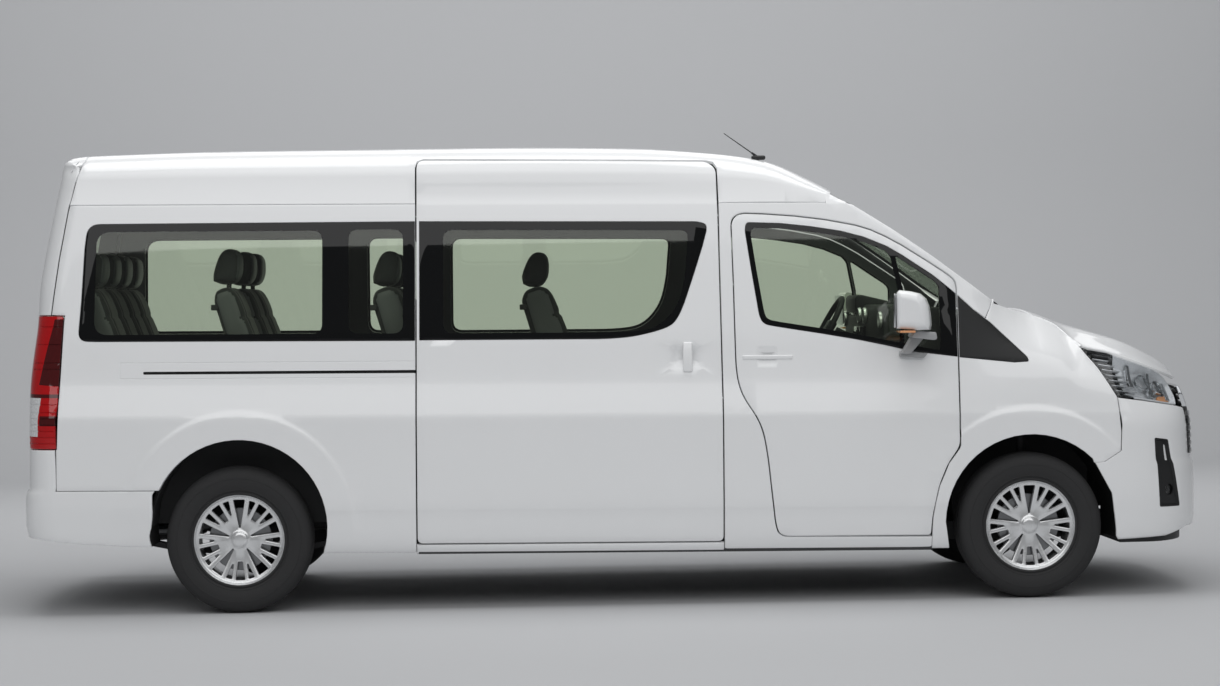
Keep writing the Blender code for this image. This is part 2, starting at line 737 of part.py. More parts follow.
def make_sliding_door(body):
    stations = [-1.100, -0.400, 0.100, 0.600]
    skin = side_shell("sliding_door", RIGHT, stations, SIDE_ROWS, WALL)
    skin = intersect("sliding_door", skin, [plug(RIGHT, SLIDING_DOOR)])
    skin, pane = glazed("sliding_door_glass", skin, RIGHT, stations, SIDE_ROWS[:-3],
                        SLIDING_GLASS, [SLIDING_WINDOW])
    add_part("sliding_door", skin, "white_paint", body)
    add_part("sliding_door_glass", pane, "tinted_glass", body)


# -------------------------------------------------------------- roof, floor, ends
def roof_grid():
    stations = [-2.660, TAILGATE_SEAM_X] + [row[0] for row in CREST[1:]]
    return [both_sides(roof_half_section(x)) for x in stations]


def make_roof(body):
    skin = shell("roof", roof_grid(), ROOF_THICK)
    below = box((-3.0, -1.2, 1.0), (1.3, 1.2, ROOF_JOINT_Z))
    ahead = box((HEADER_X - SEAT_GAP, -1.2, 1.5), (1.3, 1.2, 2.5))
    skin = subtract("roof", skin, [tail_region(0.0), plug(RIGHT, SLIDING_DOOR, SEAT_GAP), below,
                                   ahead])
    skin = unite("roof", skin, tailgate_hinges())
    add_part("roof", skin, "white_paint", body)


def tailgate_hinges():
    """Hinge leaves under the roof's rear edge; they end just short of the tailgate's inside."""
    room = shell("room", tailgate_grid(TAILGATE_ROWS), WALL + SEAT_GAP, 0.03)
    top = roof_surface(TAILGATE_SEAM_X, TAILGATE_HINGE_Y) - ROOF_THICK / 2
    leaves = []
    for side in (RIGHT, LEFT):
        edge = sorted((side * (TAILGATE_HINGE_Y - 0.035), side * (TAILGATE_HINGE_Y + 0.035)))
        arm = box((TAILGATE_SEAM_X - 0.105, edge[0], top - 0.100),
                  (TAILGATE_SEAM_X + 0.055, edge[1], top - 0.060))
        foot = box((TAILGATE_SEAM_X + 0.010, edge[0], top - 0.090),
                   (TAILGATE_SEAM_X + 0.050, edge[1], top))
        leaves.append(unite("leaf", subtract("leaf", arm, [room]), [foot]))
    return leaves


def make_windscreen(body):
    """Curved pane between the pillars, from the roof to the cowl."""
    top_middle = (HEADER_X + 0.002, 2.108)
    base_side = (1.922, 1.460)
    base_middle = (2.030, 1.460)
    steps = [0.0, 0.25, 0.5, 0.75, 0.88, 1.0]
    line = [(HEADER_X + 0.002, 2.044)] + PILLAR_LINE[1:] + [base_side]
    lengths = [0.0]
    for first, second in zip(line, line[1:]):
        lengths.append(lengths[-1] + math.dist(first, second))
    rows = []
    for step in steps:
        reach = step * lengths[-1]
        side_x = float(np.interp(reach, lengths, [p[0] for p in line]))
        side_z = float(np.interp(reach, lengths, [p[1] for p in line]))
        middle_x = top_middle[0] + (base_middle[0] - top_middle[0]) * step
        middle_z = top_middle[1] + (base_middle[1] - top_middle[1]) * step
        edge = half_width(side_x, side_z) - WALL - 0.012
        half = []
        for share in (1.0, 0.85, 0.6, 0.3, 0.0):
            bow = 1.0 - share * share
            half.append((side_x + (middle_x - side_x) * bow, edge * share,
                         side_z + (middle_z - side_z) * bow))
        rows.append(both_sides(half))
    add_part("windscreen", shell("windscreen", rows, GLASS), "clear_glass", body)


def tailgate_grid(rows):
    columns = [("face", 0.0), ("face", 0.5), ("face", 1.0), ("corner", 0.35), ("corner", 0.70),
               ("corner", 1.0), ("ahead", 0.20)]
    grid = []
    for row in rows:
        half = [rear_point(kind, step, row) for kind, step in columns[::-1]]
        grid.append(both_sides(half))
    return grid


def make_tailgate(body):
    region = [(x - SHUT_GAP, z) for x, z in TAILGATE_EDGE[1:]]
    region += [(-3.3, 2.4), (-3.3, 0.3), (-2.4, 0.3), (-2.4, 1.4355), (-2.730, 1.4355)]
    skin = shell("tailgate", tailgate_grid(TAILGATE_ROWS), WALL)
    skin = intersect("tailgate", skin, [across(region, -1.3, 1.3)])
    blocks = []
    for side in (RIGHT, LEFT):
        edge = sorted((side * (TAILGATE_HALF_WIDTH - SHUT_GAP / 2), side * 1.3))
        blocks.append(box((-3.3, edge[0], 0.3), (-2.2, edge[1], 1.4355)))
    skin = subtract("tailgate", skin, blocks)

    def window(half_y, low, high, corner):
        outline = [(-half_y, low), (half_y, low), (half_y, high - corner),
                   (half_y - corner, high), (-half_y + corner, high), (-half_y, high - corner)]
        first = [(-3.3, y, z) for y, z in outline]
        second = [(-2.4, y, z) for y, z in outline]
        return loft_outline("window", first, second)

    pane_rows = [1.049, 1.368, 1.847, 1.965, 2.120]
    seat = intersect("seat", shell("seat", tailgate_grid(pane_rows), GLASS + SEAT_GAP, 0.03),
                     [window(0.700, 1.290, 1.985, 0.06)])
    pane = intersect("pane", shell("pane", tailgate_grid(pane_rows), GLASS),
                     [window(0.700 - SEAT_GAP, 1.290 + SEAT_GAP, 1.985 - SEAT_GAP, 0.06)])
    skin = subtract("tailgate", skin, [seat, window(0.650, 1.340, 1.940, 0.04)])
    add_part("tailgate", skin, "white_paint", body)
    add_part("tailgate_glass", pane, "tinted_glass", body)


def make_tail_lamps(body):
    side = RIGHT
    columns = [("face", 0.90), ("corner", 0.0), ("corner", 0.3), ("corner", 0.6),
               ("corner", 1.0), ("ahead", 0.06), ("ahead", 0.20)]
    rows = [0.785, 1.049, 1.250, 1.429]
    grid = [mirrored([rear_point(kind, step, row) for kind, step in columns], side) for row in rows]
    lens = shell("lamp", grid, 0.050)
    lens = intersect("lamp", lens, [across(grown(TAIL_LAMP, -SEAT_GAP), side * 0.4, side * 1.3)])
    edge = sorted((0.0, side * (TAILGATE_HALF_WIDTH + SHUT_GAP / 2)))
    lens = subtract("lamp", lens, [box((-3.3, edge[0], 0.3), (-2.2, edge[1], 1.6))])
    add_pair("tail_lamp", lens, "red_lens", body)


def make_rear_bumper(body):
    columns = [("face", 0.0), ("face", 0.5), ("face", 1.0), ("corner", 0.3), ("corner", 0.6),
               ("corner", 1.0), ("ahead", 0.20), ("ahead", 0.60)]
    rows = [0.300, 0.350, 0.409, REAR_BUMPER_TOP, 0.680, 0.7845]
    grid = [both_sides([rear_point(k, s, row) for k, s in columns[::-1]]) for row in rows]
    skin = shell("bumper", grid, BUMPER_THICK)
    front = REAR_BUMPER_FRONT_X - SEAT_GAP
    outline = [(-3.3, 0.25), (front, 0.25), (front, REAR_BUMPER_TOP), (-2.6955, REAR_BUMPER_TOP),
               (-2.6955, 0.7842), (-3.3, 0.7842)]
    skin = intersect("bumper", skin, [across(outline, -1.3, 1.3)])
    half = TAILGATE_HALF_WIDTH + SHUT_GAP / 2
    skin = subtract("bumper", skin, [box((-3.3, -half, REAR_BUMPER_TOP + 0.003),
                                         (-2.2, half, 1.0)), arch_cutter(REAR_ARCH_X)])
    add_part("rear_bumper", skin, "white_paint", body)


def nose_grid(rows, steps):
    """Grid of the whole nose, from its right side round to its left."""
    return [both_sides([nose_point(step, z) for step in steps]) for z in rows]


def make_front_bumper(body):
    rows = [0.290, 0.330, 0.400, 0.540, 0.690, 0.800, 0.905, 0.956, 1.004]
    skin = shell("bumper", nose_grid(rows, [0.0] + NOSE_STEPS), BUMPER_THICK)
    outline = [(x, z) for x, z in BUMPER_EDGE]
    outline += [(2.5965, 0.9875), (2.7995, 0.9575), (3.3, 0.9565), (3.3, 0.25)]
    skin = intersect("bumper", skin, [across(outline, -1.3, 1.3)])
    circle = arc(FRONT_ARCH_X, ARCH_CENTRE_Z, LINER_ROOM, -18.0, 342.0, 20)[:-1]
    reach = LINER_OUTER_Y + SEAT_GAP
    grille_room = box((2.0, -0.6725, 0.9575), (3.3, 0.6725, 1.1))
    skin = subtract("bumper", skin, [across(circle, -reach, reach), grille_room])
    add_part("front_bumper", skin, "white_paint", body)


def make_grille(body):
    rows = [0.957, 1.000, 1.040, 1.076]
    skin = shell("grille", nose_grid(rows, [0.48, 0.58, 0.68, 0.80, 0.90, 1.0]), 0.035)
    skin = intersect("grille", skin, [box((2.0, -0.672, 0.958), (3.2, 0.672, 1.10))])
    skin = subtract("grille", skin, [bonnet_cutter()])
    add_part("grille", skin, "dark_chrome", body)


def make_headlamps(body):
    side = RIGHT
    rows = [0.950, 1.000, 1.050, 1.105, 1.170, 1.260]
    steps = [0.0, 0.10, 0.20, 0.30, 0.42, 0.54, 0.64]
    grid = [mirrored([nose_point(step, z) for step in steps], side) for z in rows]
    lens = shell("lamp", grid, 0.050)
    lens = intersect("lamp", lens, [across(grown(HEADLAMP, -SEAT_GAP), side * 0.674, side * 1.3)])
    lens = subtract("lamp", lens, [bonnet_cutter()])
    add_pair("headlamp", lens, "lamp_lens", body)


def make_bonnet(body):
    add_part("bonnet", shell("bonnet", bonnet_grid(), BONNET_THICK), "white_paint", body)


def make_scuttle(body):
    """Bulkhead in front of the cabin, with the cowl under the windscreen."""
    outline = [
        (1.600, 0.470), (1.640, 0.470), (1.640, 1.020), (1.740, 1.340), (2.060, 1.340),
        (2.0748, 1.395), (2.046, 1.455), (1.780, 1.455), (1.700, 1.400), (1.600, 1.050),
    ]
    shape = across(outline, -0.660, 0.660)
    circle = arc(FRONT_ARCH_X, ARCH_CENTRE_Z, LINER_ROOM, -18.0, 342.0, 20)[:-1]
    rooms = []
    for side in (RIGHT, LEFT):
        rooms.append(across(circle, side * (LINER_INNER_Y - SEAT_GAP), side * 0.900))
    shape = subtract("scuttle", shape, rooms)
    add_part("scuttle", shape, "black_plastic", body)


def make_floor(body):
    low = FLOOR_TOP - FLOOR_THICK
    pieces = []
    for side in (RIGHT, LEFT):
        edge = sorted((side * 0.780, side * 0.865))
        pieces.append(box((-1.380, edge[0], 0.266), (1.540, edge[1], FLOOR_TOP - 0.010)))
        rail = sorted((side * 0.400, side * 0.470))
        pieces.append(box((-2.780, rail[0], RAIL_BOTTOM), (1.500, rail[1], low + 0.010)))
        strip_start = -0.9500 if side == RIGHT else 0.5400
        strip = side_shell("strip", side, [strip_start, 1.554], [0.262, 0.480], 0.090)
        edge = sorted((side * 0.800, side * 1.0))
        pieces.append(intersect("strip", strip, [box((-2.0, edge[0], 0.2), (2.0, edge[1], 0.3092))]))
        tub = arc(REAR_ARCH_X, ARCH_CENTRE_Z, ARCH_RADIUS + 0.014, 0.0, 360.0, 24)[:-1]
        pieces.append(across(tub, side * 0.645, side * 0.868))
    base = box((-2.800, -0.868, low), (1.598, 0.868, FLOOR_TOP))
    pan = unite("floor", base, pieces)
    wells = [box((-3.2, -1.2, 0.0), (-2.20, 1.2, 0.395))]
    for side in (RIGHT, LEFT):
        well = arc(REAR_ARCH_X, ARCH_CENTRE_Z, ARCH_RADIUS + 0.005, 0.0, 360.0, 24)[:-1]
        wells.append(across(well, side * 0.655, side * 1.2))
        below = sorted((side * 0.640, side * 1.2))
        wells.append(box((-2.260, below[0], -0.2), (-1.376, below[1], 0.400)))
    pan = subtract("floor_pan", pan, wells)
    add_part("floor_pan", pan, "dark_trim", body)


# ---------------------------------------------------------------- fittings of the body
def make_mirrors(body):
    """Mirror head on its arm, carried by the front door."""
    foot_x, foot_z = 1.420, 1.190
    skin = half_width(foot_x, foot_z) + SEAT_GAP
    head = box((1.362, 1.040, 1.340), (1.522, 1.200, 1.528))
    bm = bmesh.new()
    bm.from_mesh(head)
    bmesh.ops.bevel(bm, geom=bm.edges[:], offset=0.035, segments=2, profile=0.5,
                    affect="EDGES")
    for vert in bm.verts:
        vert.co.x += 0.25 * (1.120 - vert.co.y)
    head = finish_mesh(bm, "head")
    foot = box((foot_x, skin, foot_z), (foot_x + 0.080, skin + 0.060, foot_z + 0.035))
    post = box((foot_x, skin + 0.025, foot_z + 0.010), (foot_x + 0.080, skin + 0.060, 1.330))
    arm = box((foot_x + 0.005, skin + 0.025, 1.300), (foot_x + 0.075, 1.110, 1.330))
    knob = box((foot_x + 0.005, 1.050, 1.320), (foot_x + 0.070, 1.110, 1.360))
    shape = unite("mirror", arm, [foot, post, knob, head])
    flip(shape)
    add_pair("mirror", shape, "white_paint", body)


def flip(mesh):
    """Mirror a mesh to the van's other side."""
    bm = bmesh.new()
    bm.from_mesh(mesh)
    for vert in bm.verts:
        vert.co.y = -vert.co.y
    bmesh.ops.reverse_faces(bm, faces=bm.faces)
    bm.to_mesh(mesh)
    bm.free()


def make_aerial(body):
    foot = (0.746, -0.600)
    corners = [roof_surface(foot[0] + dx, foot[1] + dy) for dx in (-0.016, 0.016)
               for dy in (-0.016, 0.016)]
    base_z = max(corners)
    stem = rod((foot[0], foot[1], base_z + 0.004), (foot[0] - 0.185, foot[1], base_z + 0.140),
               0.004, 8)
    base = rod((foot[0], foot[1], base_z - 0.012), (foot[0], foot[1], base_z + 0.022), 0.016, 10)
    room = shell("room", roof_grid(), ROOF_THICK, SEAT_GAP)
    mast = subtract("aerial", unite("aerial", base, [stem]), [room])
    add_part("aerial", mast, "black_plastic", body)


def roof_surface(x, y):
    """Height of the roof's outer face above a point."""
    section = roof_half_section(x)
    section.sort(key=lambda point: point[1])
    return float(np.interp(abs(y), [p[1] for p in section], [p[2] for p in section]))


# ------------------------------------------------------------------------- cabin
SEAT_ROWS = {
    # name: (x of the backrest's foot, width of a seat, seat centres across the van)
    "seat_row_1": (-0.166, 0.430, (-0.120, 0.330)),
    "seat_row_2": (-0.903, 0.430, (-0.560, 0.110, 0.560)),
    "seat_row_3": (-1.703, 0.430, (-0.560, 0.110, 0.560)),
    "seat_row_4": (-2.358, 0.370, (-0.570, -0.190, 0.190, 0.570)),
}
FRONT_SEAT_X = 0.790
FRONT_SEAT_WIDTH = 0.420
CUSHION_TOP = 1.000
# lengths along the upright backrest, before it leans
BACK_TOP = 1.605
HEADREST_TOP = 1.790
SEAT_LEAN = math.radians(17.0)
HEADREST_TIP = math.radians(-22.0)    # the headrest tips forward again


def leaned(mesh, pivot_x, pivot_z, lean):
    """Tip a mesh back about a crosswise line."""
    bm = bmesh.new()
    bm.from_mesh(mesh)
    for vert in bm.verts:
        dx, dz = vert.co.x - pivot_x, vert.co.z - pivot_z
        vert.co.x = pivot_x + dx * math.cos(lean) - dz * math.sin(lean)
        vert.co.z = pivot_z + dx * math.sin(lean) + dz * math.cos(lean)
    bm.to_mesh(mesh)
    bm.free()
    return mesh


def seat_solids(back_x, y, width):
    """Cushion, leaning backrest, headrest and pedestal of one seat."""
    half = width / 2
    low = CUSHION_TOP - 0.130
    cushion = box((back_x - 0.020, y - half, low), (back_x + 0.460, y + half, CUSHION_TOP))
    back = box((back_x - 0.065, y - half, low + 0.010), (back_x + 0.060, y + half, BACK_TOP))
    rest = box((back_x - 0.055, y - 0.120, BACK_TOP + 0.025),
               (back_x + 0.045, y + 0.120, HEADREST_TOP))
    leaned(rest, back_x, BACK_TOP, HEADREST_TIP)
    post = box((back_x - 0.015, y - 0.060, BACK_TOP - 0.050),
               (back_x + 0.005, y + 0.060, BACK_TOP + 0.060))
    for piece in (back, rest, post):
        leaned(piece, back_x, low, SEAT_LEAN)
    return [cushion, back, rest, post]


def make_seat_row(name, back_x, width, centres, body):
    solids = []
    for y in centres:
        solids += seat_solids(back_x, y, width)
    ends = (max(-0.600, min(centres) - 0.120), min(0.600, max(centres) + 0.120))
    beam = box((back_x + 0.030, ends[0], CUSHION_TOP - 0.170),
               (back_x + 0.400, ends[1], CUSHION_TOP - 0.120))
    legs = []
    for y in ends:
        middle = y + (0.04 if y < 0 else -0.04)
        legs.append(box((back_x + 0.060, middle - 0.025, FLOOR_TOP + SEAT_GAP),
                        (back_x + 0.360, middle + 0.025, CUSHION_TOP - 0.150)))
    shape = unite(name, beam, legs + solids)
    add_part(name, shape, "grey_fabric", body)


def make_front_seats(body):
    """Driver's seat on the left and a double passenger seat, on one plinth."""
    solids = []
    for y in (-0.560, -0.130, 0.480):
        solids += seat_solids(FRONT_SEAT_X, y, FRONT_SEAT_WIDTH)
    plinth = box((FRONT_SEAT_X + 0.020, -0.720, FLOOR_TOP + SEAT_GAP),
                 (FRONT_SEAT_X + 0.400, 0.650, CUSHION_TOP - 0.120))
    add_part("front_seats", unite("front_seats", plinth, solids), "grey_fabric", body)


STEERING_WHEEL = (1.205, 0.480, 1.335)
STEERING_TILT = math.radians(28.0)      # the column's slope above the floor's plane
STEERING_WHEEL_RADIUS = 0.195
STEERING_HUB_DEPTH = 0.040


def make_dashboard(body):
    """Dashboard across the cabin, with the hood over the dials and the column."""
    outline = [
        (1.430, 0.720), (1.370, 1.000), (1.335, 1.200), (1.340, 1.400), (1.390, 1.468),
        (1.680, 1.445), (1.685, 1.390), (1.675, 1.345), (1.5985, 1.045), (1.5985, 0.700),
    ]
    dial_hood = [
        (1.350, 1.380), (1.332, 1.450), (1.334, 1.512), (1.370, 1.517), (1.545, 1.478),
        (1.560, 1.380),
    ]
    shape = across(outline, -0.760, 0.760)
    hood = across(dial_hood, 0.270, 0.690)
    axis = Vector((math.cos(STEERING_TILT), 0.0, -math.sin(STEERING_TILT)))
    wheel = Vector(STEERING_WHEEL)
    column_bar = rod(wheel + axis * (STEERING_HUB_DEPTH + SEAT_GAP), wheel + axis * 0.260,
                     0.040, 10)
    shape = unite("dashboard", shape, [hood, column_bar])
    add_part("dashboard", shape, "dark_trim", body)


def make_steering_wheel(body):
    """Rim, three spokes and hub, square to the column."""
    bm = bmesh.new()
    rim_radius = STEERING_WHEEL_RADIUS - 0.014
    steps, sides = 20, 6
    rings = []
    for i in range(steps):
        angle = 2 * math.pi * i / steps
        ring = []
        for j in range(sides):
            turn = 2 * math.pi * j / sides
            reach = rim_radius + 0.014 * math.cos(turn)
            ring.append(bm.verts.new((reach * math.cos(angle), reach * math.sin(angle),
                                      0.014 * math.sin(turn))))
        rings.append(ring)
    for i in range(steps):
        for j in range(sides):
            bm.faces.new((rings[i][j], rings[(i + 1) % steps][j],
                          rings[(i + 1) % steps][(j + 1) % sides], rings[i][(j + 1) % sides]))
    rim = finish_mesh(bm, "rim")
    pieces = [box((-0.060, -0.055, -STEERING_HUB_DEPTH), (0.060, 0.055, 0.010))]
    pieces.append(box((-0.180, -0.016, -0.020), (0.180, 0.016, -0.005)))
    pieces.append(box((-0.014, -0.180, -0.020), (0.014, 0.0, -0.005)))
    wheel = unite("steering_wheel", rim, pieces)
    item = add_part("steering_wheel", wheel, "dark_trim", body)
    item.location = STEERING_WHEEL
    # local Z runs up the column, toward the driver
    item.rotation_euler = (0.0, -(math.pi / 2 - STEERING_TILT), 0.0)


# -------------------------------------------------------------------- running gear
def turned(name, profile, steps):
    """Ring turned about Y from its closed section: (radius, y)."""
    bm = bmesh.new()
    rings = []
    for i in range(steps):
        angle = 2 * math.pi * i / steps
        rings.append([bm.verts.new((r * math.cos(angle), y, r * math.sin(angle)))
                      for r, y in profile])
    count = len(profile)
    for i in range(steps):
        after = (i + 1) % steps
        for j in range(count):
            nxt = (j + 1) % count
            bm.faces.new((rings[i][j], rings[after][j], rings[after][nxt], rings[i][nxt]))
    mesh = finish_mesh(bm, name)
    return mesh


WHEEL_STEPS = 24


def tyre_profile():
    half = TYRE_WIDTH / 2
    seat = RIM_SEAT_RADIUS
    tread = TYRE_RADIUS
    return [
        (seat, -half + 0.018), (seat + 0.060, -half), (tread - 0.040, -half + 0.006),
        (tread - 0.008, -half + 0.022), (tread, -half + 0.045), (tread, half - 0.045),
        (tread - 0.008, half - 0.022), (tread - 0.040, half - 0.006), (seat + 0.060, half),
        (seat, half - 0.018),
    ]


def rim_profile():
    """Section of barrel and disc; +Y is the wheel's outer side."""
    seat = RIM_SEAT_RADIUS - SEAT_GAP
    half = TYRE_WIDTH / 2 - 0.020
    return [
        (seat, -half), (seat, half), (seat - 0.016, half - 0.004), (seat - 0.030, half - 0.030),
        (0.030, half - 0.010), (0.030, half - 0.040), (seat - 0.030, half - 0.066),
        (seat - 0.014, half - 0.075), (seat - 0.014, -half),
    ]


def make_wheel(end, side, label):
    """Tyre and rim of one wheel, turning about the axle line."""
    x = FRONT_AXLE_X if end == "front" else REAR_AXLE_X
    tyre = turned("tyre", tyre_profile(), WHEEL_STEPS)
    rim = turned("rim", rim_profile(), WHEEL_STEPS)
    centre = rod((0, 0.040, 0), (0, TYRE_WIDTH / 2 - 0.026, 0), 0.034, 16)
    rim = unite("rim", rim, [centre])
    for name, mesh, material in (("tyre", tyre, "tyre_rubber"), ("rim", rim, "alloy")):
        if side == RIGHT:
            flip(mesh)
        item = add_part(name + "_" + end + "_" + label, mesh, material)
        item.location = (x, side * TRACK / 2, TYRE_RADIUS)


def make_knuckle(side, label):
    """Front hub carrier with its brake disc and strut, turning about the kingpin."""
    hub_y = TRACK / 2 + 0.0395
    inner = KINGPIN_Y - TRACK / 2
    strut_y = inner - 0.090
    solids = [
        rod((0, 0.0, 0), (0, hub_y - TRACK / 2 - SEAT_GAP, 0), 0.030, 16),
        rod((0, -0.020, 0), (0, 0.006, 0), BRAKE_RADIUS, 20),
        rod((0, inner - 0.010, 0), (0, 0.0, 0), HUB_RADIUS, 12),
        rod((0, inner, -0.100), (0, inner, 0.130), KNUCKLE_RADIUS, 12),
        box((-0.020, strut_y, 0.085), (0.020, inner, 0.120)),
        rod((0, strut_y, 0.070), (0, strut_y, STRUT_TOP_Z - TYRE_RADIUS), 0.022, 12),
    ]
    shape = unite("knuckle", solids[0], solids[1:])
    if side == RIGHT:
        flip(shape)
    item = add_part("knuckle_" + label, shape, "cast_iron")
    item.location = (FRONT_AXLE_X, side * TRACK / 2, TYRE_RADIUS)


def floor_height(x):
    """Height of the floor's underside above the ground; the body stands tilted by RAKE."""
    return (FLOOR_TOP - FLOOR_THICK) / math.cos(RAKE) - (x - BODY_SHIFT_X) * math.tan(RAKE)


def make_subframe():
    """Front cross-member with a lower arm to each knuckle."""
    z = TYRE_RADIUS
    arm_y = KINGPIN_Y - KNUCKLE_RADIUS - SEAT_GAP
    solids = []
    for side in (RIGHT, LEFT):
        ends = sorted((side * 0.300, side * arm_y))
        solids.append(box((FRONT_AXLE_X - 0.025, ends[0], z - 0.095),
                          (FRONT_AXLE_X + 0.025, ends[1], z - 0.070)))
        rail = sorted((side * 0.300, side * 0.380))
        solids.append(box((FRONT_AXLE_X - 0.560, rail[0], z - 0.110),
                          (FRONT_AXLE_X + 0.360, rail[1], z - 0.020)))
        post_x = FRONT_AXLE_X - 0.480
        solids.append(box((post_x - 0.080, rail[0], z - 0.030),
                          (post_x, rail[1], floor_height(post_x) - SEAT_GAP)))
    member = box((FRONT_AXLE_X - 0.120, -0.320, z - 0.120), (FRONT_AXLE_X + 0.120, 0.320, z - 0.050))
    add_part("front_subframe", unite("front_subframe", member, solids), "bare_steel")


def make_engine():
    """Engine with its gearbox, as a plain block at its real place and size."""
    x = FRONT_AXLE_X
    block = box((x - 0.280, -0.290, TYRE_RADIUS - 0.0495), (x + 0.420, 0.290, 1.020))
    gearbox = box((x - 0.950, -0.140, 0.290), (x - 0.250, 0.140, 0.440))
    add_part("engine", unite("engine", block, [gearbox]), "cast_iron")


def make_rear_axle():
    """Axle tube, differential, leaf springs and propeller shaft."""
    x, z = REAR_AXLE_X, TYRE_RADIUS
    end_y = TRACK / 2 - 0.040
    hub_y = TRACK / 2 + 0.0395 - SEAT_GAP
    solids = [rod((x, -hub_y, z), (x, hub_y, z), 0.030, 16)]
    for side in (RIGHT, LEFT):
        solids.append(rod((x, side * (end_y - 0.040), z), (x, side * (end_y + 0.046), z), 0.135, 20))
        spring = []
        for share in (-1.0, -0.5, 0.0, 0.5, 1.0):
            spring.append((x + 0.640 * share, z - 0.075 + 0.090 * share * share))
        low = [(px, pz - 0.028) for px, pz in spring[::-1]]
        edges = sorted((side * 0.540, side * 0.610))
        solids.append(across(spring + low, edges[0], edges[1]))
        for end in (-1.0, 1.0):
            hanger_x = x + end * 0.620
            solids.append(box((hanger_x - 0.030, edges[0], z - 0.030),
                              (hanger_x + 0.030, edges[1],
                               floor_height(hanger_x + 0.030) - SEAT_GAP)))
        seat = sorted((side * 0.532, side * 0.618))
        solids.append(box((x - 0.050, seat[0], z - 0.110), (x + 0.050, seat[1], z - 0.020)))
    ball = bmesh.new()
    bmesh.ops.create_uvsphere(ball, u_segments=12, v_segments=8, radius=0.140)
    for vert in ball.verts:
        vert.co += Vector((x, 0, z))
    solids.append(finish_mesh(ball, "differential"))
    solids.append(rod((x - 0.05, 0, z), (FRONT_AXLE_X - 0.9505, 0, 0.390), 0.036, 12))
    tube = rod((x, -end_y, z), (x, end_y, z), 0.045, 12)
    add_part("rear_axle", unite("rear_axle", tube, solids), "cast_iron")


def make_fuel_tank(body):
    top = FLOOR_TOP - FLOOR_THICK - SEAT_GAP
    tank = box((-0.890, 0.480, top - 0.240), (0.260, 0.770, top))
    add_part("fuel_tank", tank, "black_plastic", body)


def tube(name, points, radius, sides_half):
    """Round pipe along a route, as a mesh."""
    curve = bpy.data.curves.new(name, "CURVE")
    curve.dimensions = "3D"
    curve.bevel_depth = radius
    curve.bevel_resolution = sides_half
    curve.use_fill_caps = True
    spline = curve.splines.new("POLY")
    spline.points.add(len(points) - 1)
    for point, place in zip(spline.points, points):
        point.co = (*place, 1.0)
    item = bpy.data.objects.new(name, curve)
    CUTTERS.objects.link(item)
    bpy.context.view_layer.update()
    evaluated = item.evaluated_get(bpy.context.evaluated_depsgraph_get())
    mesh = bpy.data.meshes.new_from_object(evaluated)
    bpy.data.objects.remove(item, do_unlink=True)
    bm = bmesh.new()
    bm.from_mesh(mesh)
    bmesh.ops.remove_doubles(bm, verts=bm.verts, dist=0.00005)
    bmesh.ops.recalc_face_normals(bm, faces=bm.faces)
    bm.to_mesh(mesh)
    bm.free()
    return mesh


def make_exhaust(body):
    """Silencer with its pipe and hangers, under the right-hand side of the floor."""
    route = [(1.000, -0.230, 0.330), (0.600, -0.300, 0.330), (-0.900, -0.300, 0.330),
             (-1.300, -0.300, 0.380), (-1.500, -0.300, 0.455), (-1.930, -0.300, 0.455),
             (-2.040, -0.325, 0.365), (-2.200, -0.430, 0.352), (-2.600, -0.450, 0.350),
             (-2.780, -0.450, 0.330)]
    pipe = tube("pipe", route, 0.026, 2)
    silencer = rod((-0.150, -0.300, 0.330), (-0.750, -0.300, 0.330), 0.095, 16)
    floor = FLOOR_TOP - FLOOR_THICK - SEAT_GAP
    hangers = [rod((x, -0.300, 0.400), (x, -0.300, floor), 0.012, 8) for x in (-0.250, -0.650)]
    hangers.append(rod((-2.600, -0.450, 0.355), (-2.600, -0.450, RAIL_BOTTOM - SEAT_GAP), 0.012, 8))
    add_part("exhaust", unite("exhaust", silencer, [pipe] + hangers), "bare_steel", body)


def make_spare_wheel(body):
    """Spare wheel slung flat under the tail."""
    half = TYRE_WIDTH / 2
    profile = [(0.100, -half + 0.03), (0.212, -half + 0.03), (0.225, -half), (0.330, -half + 0.02),
               (0.350, -0.060), (0.350, 0.060), (0.330, half - 0.02), (0.225, half),
               (0.212, half - 0.03), (0.100, half - 0.03)]
    mesh = turned("spare", profile, 24)
    item = add_part("spare_wheel", mesh, "tyre_rubber", body)
    item.rotation_euler = (math.radians(90.0), 0.0, 0.0)
    item.location = (-2.420, 0.0, FLOOR_TOP - FLOOR_THICK - SEAT_GAP - half)


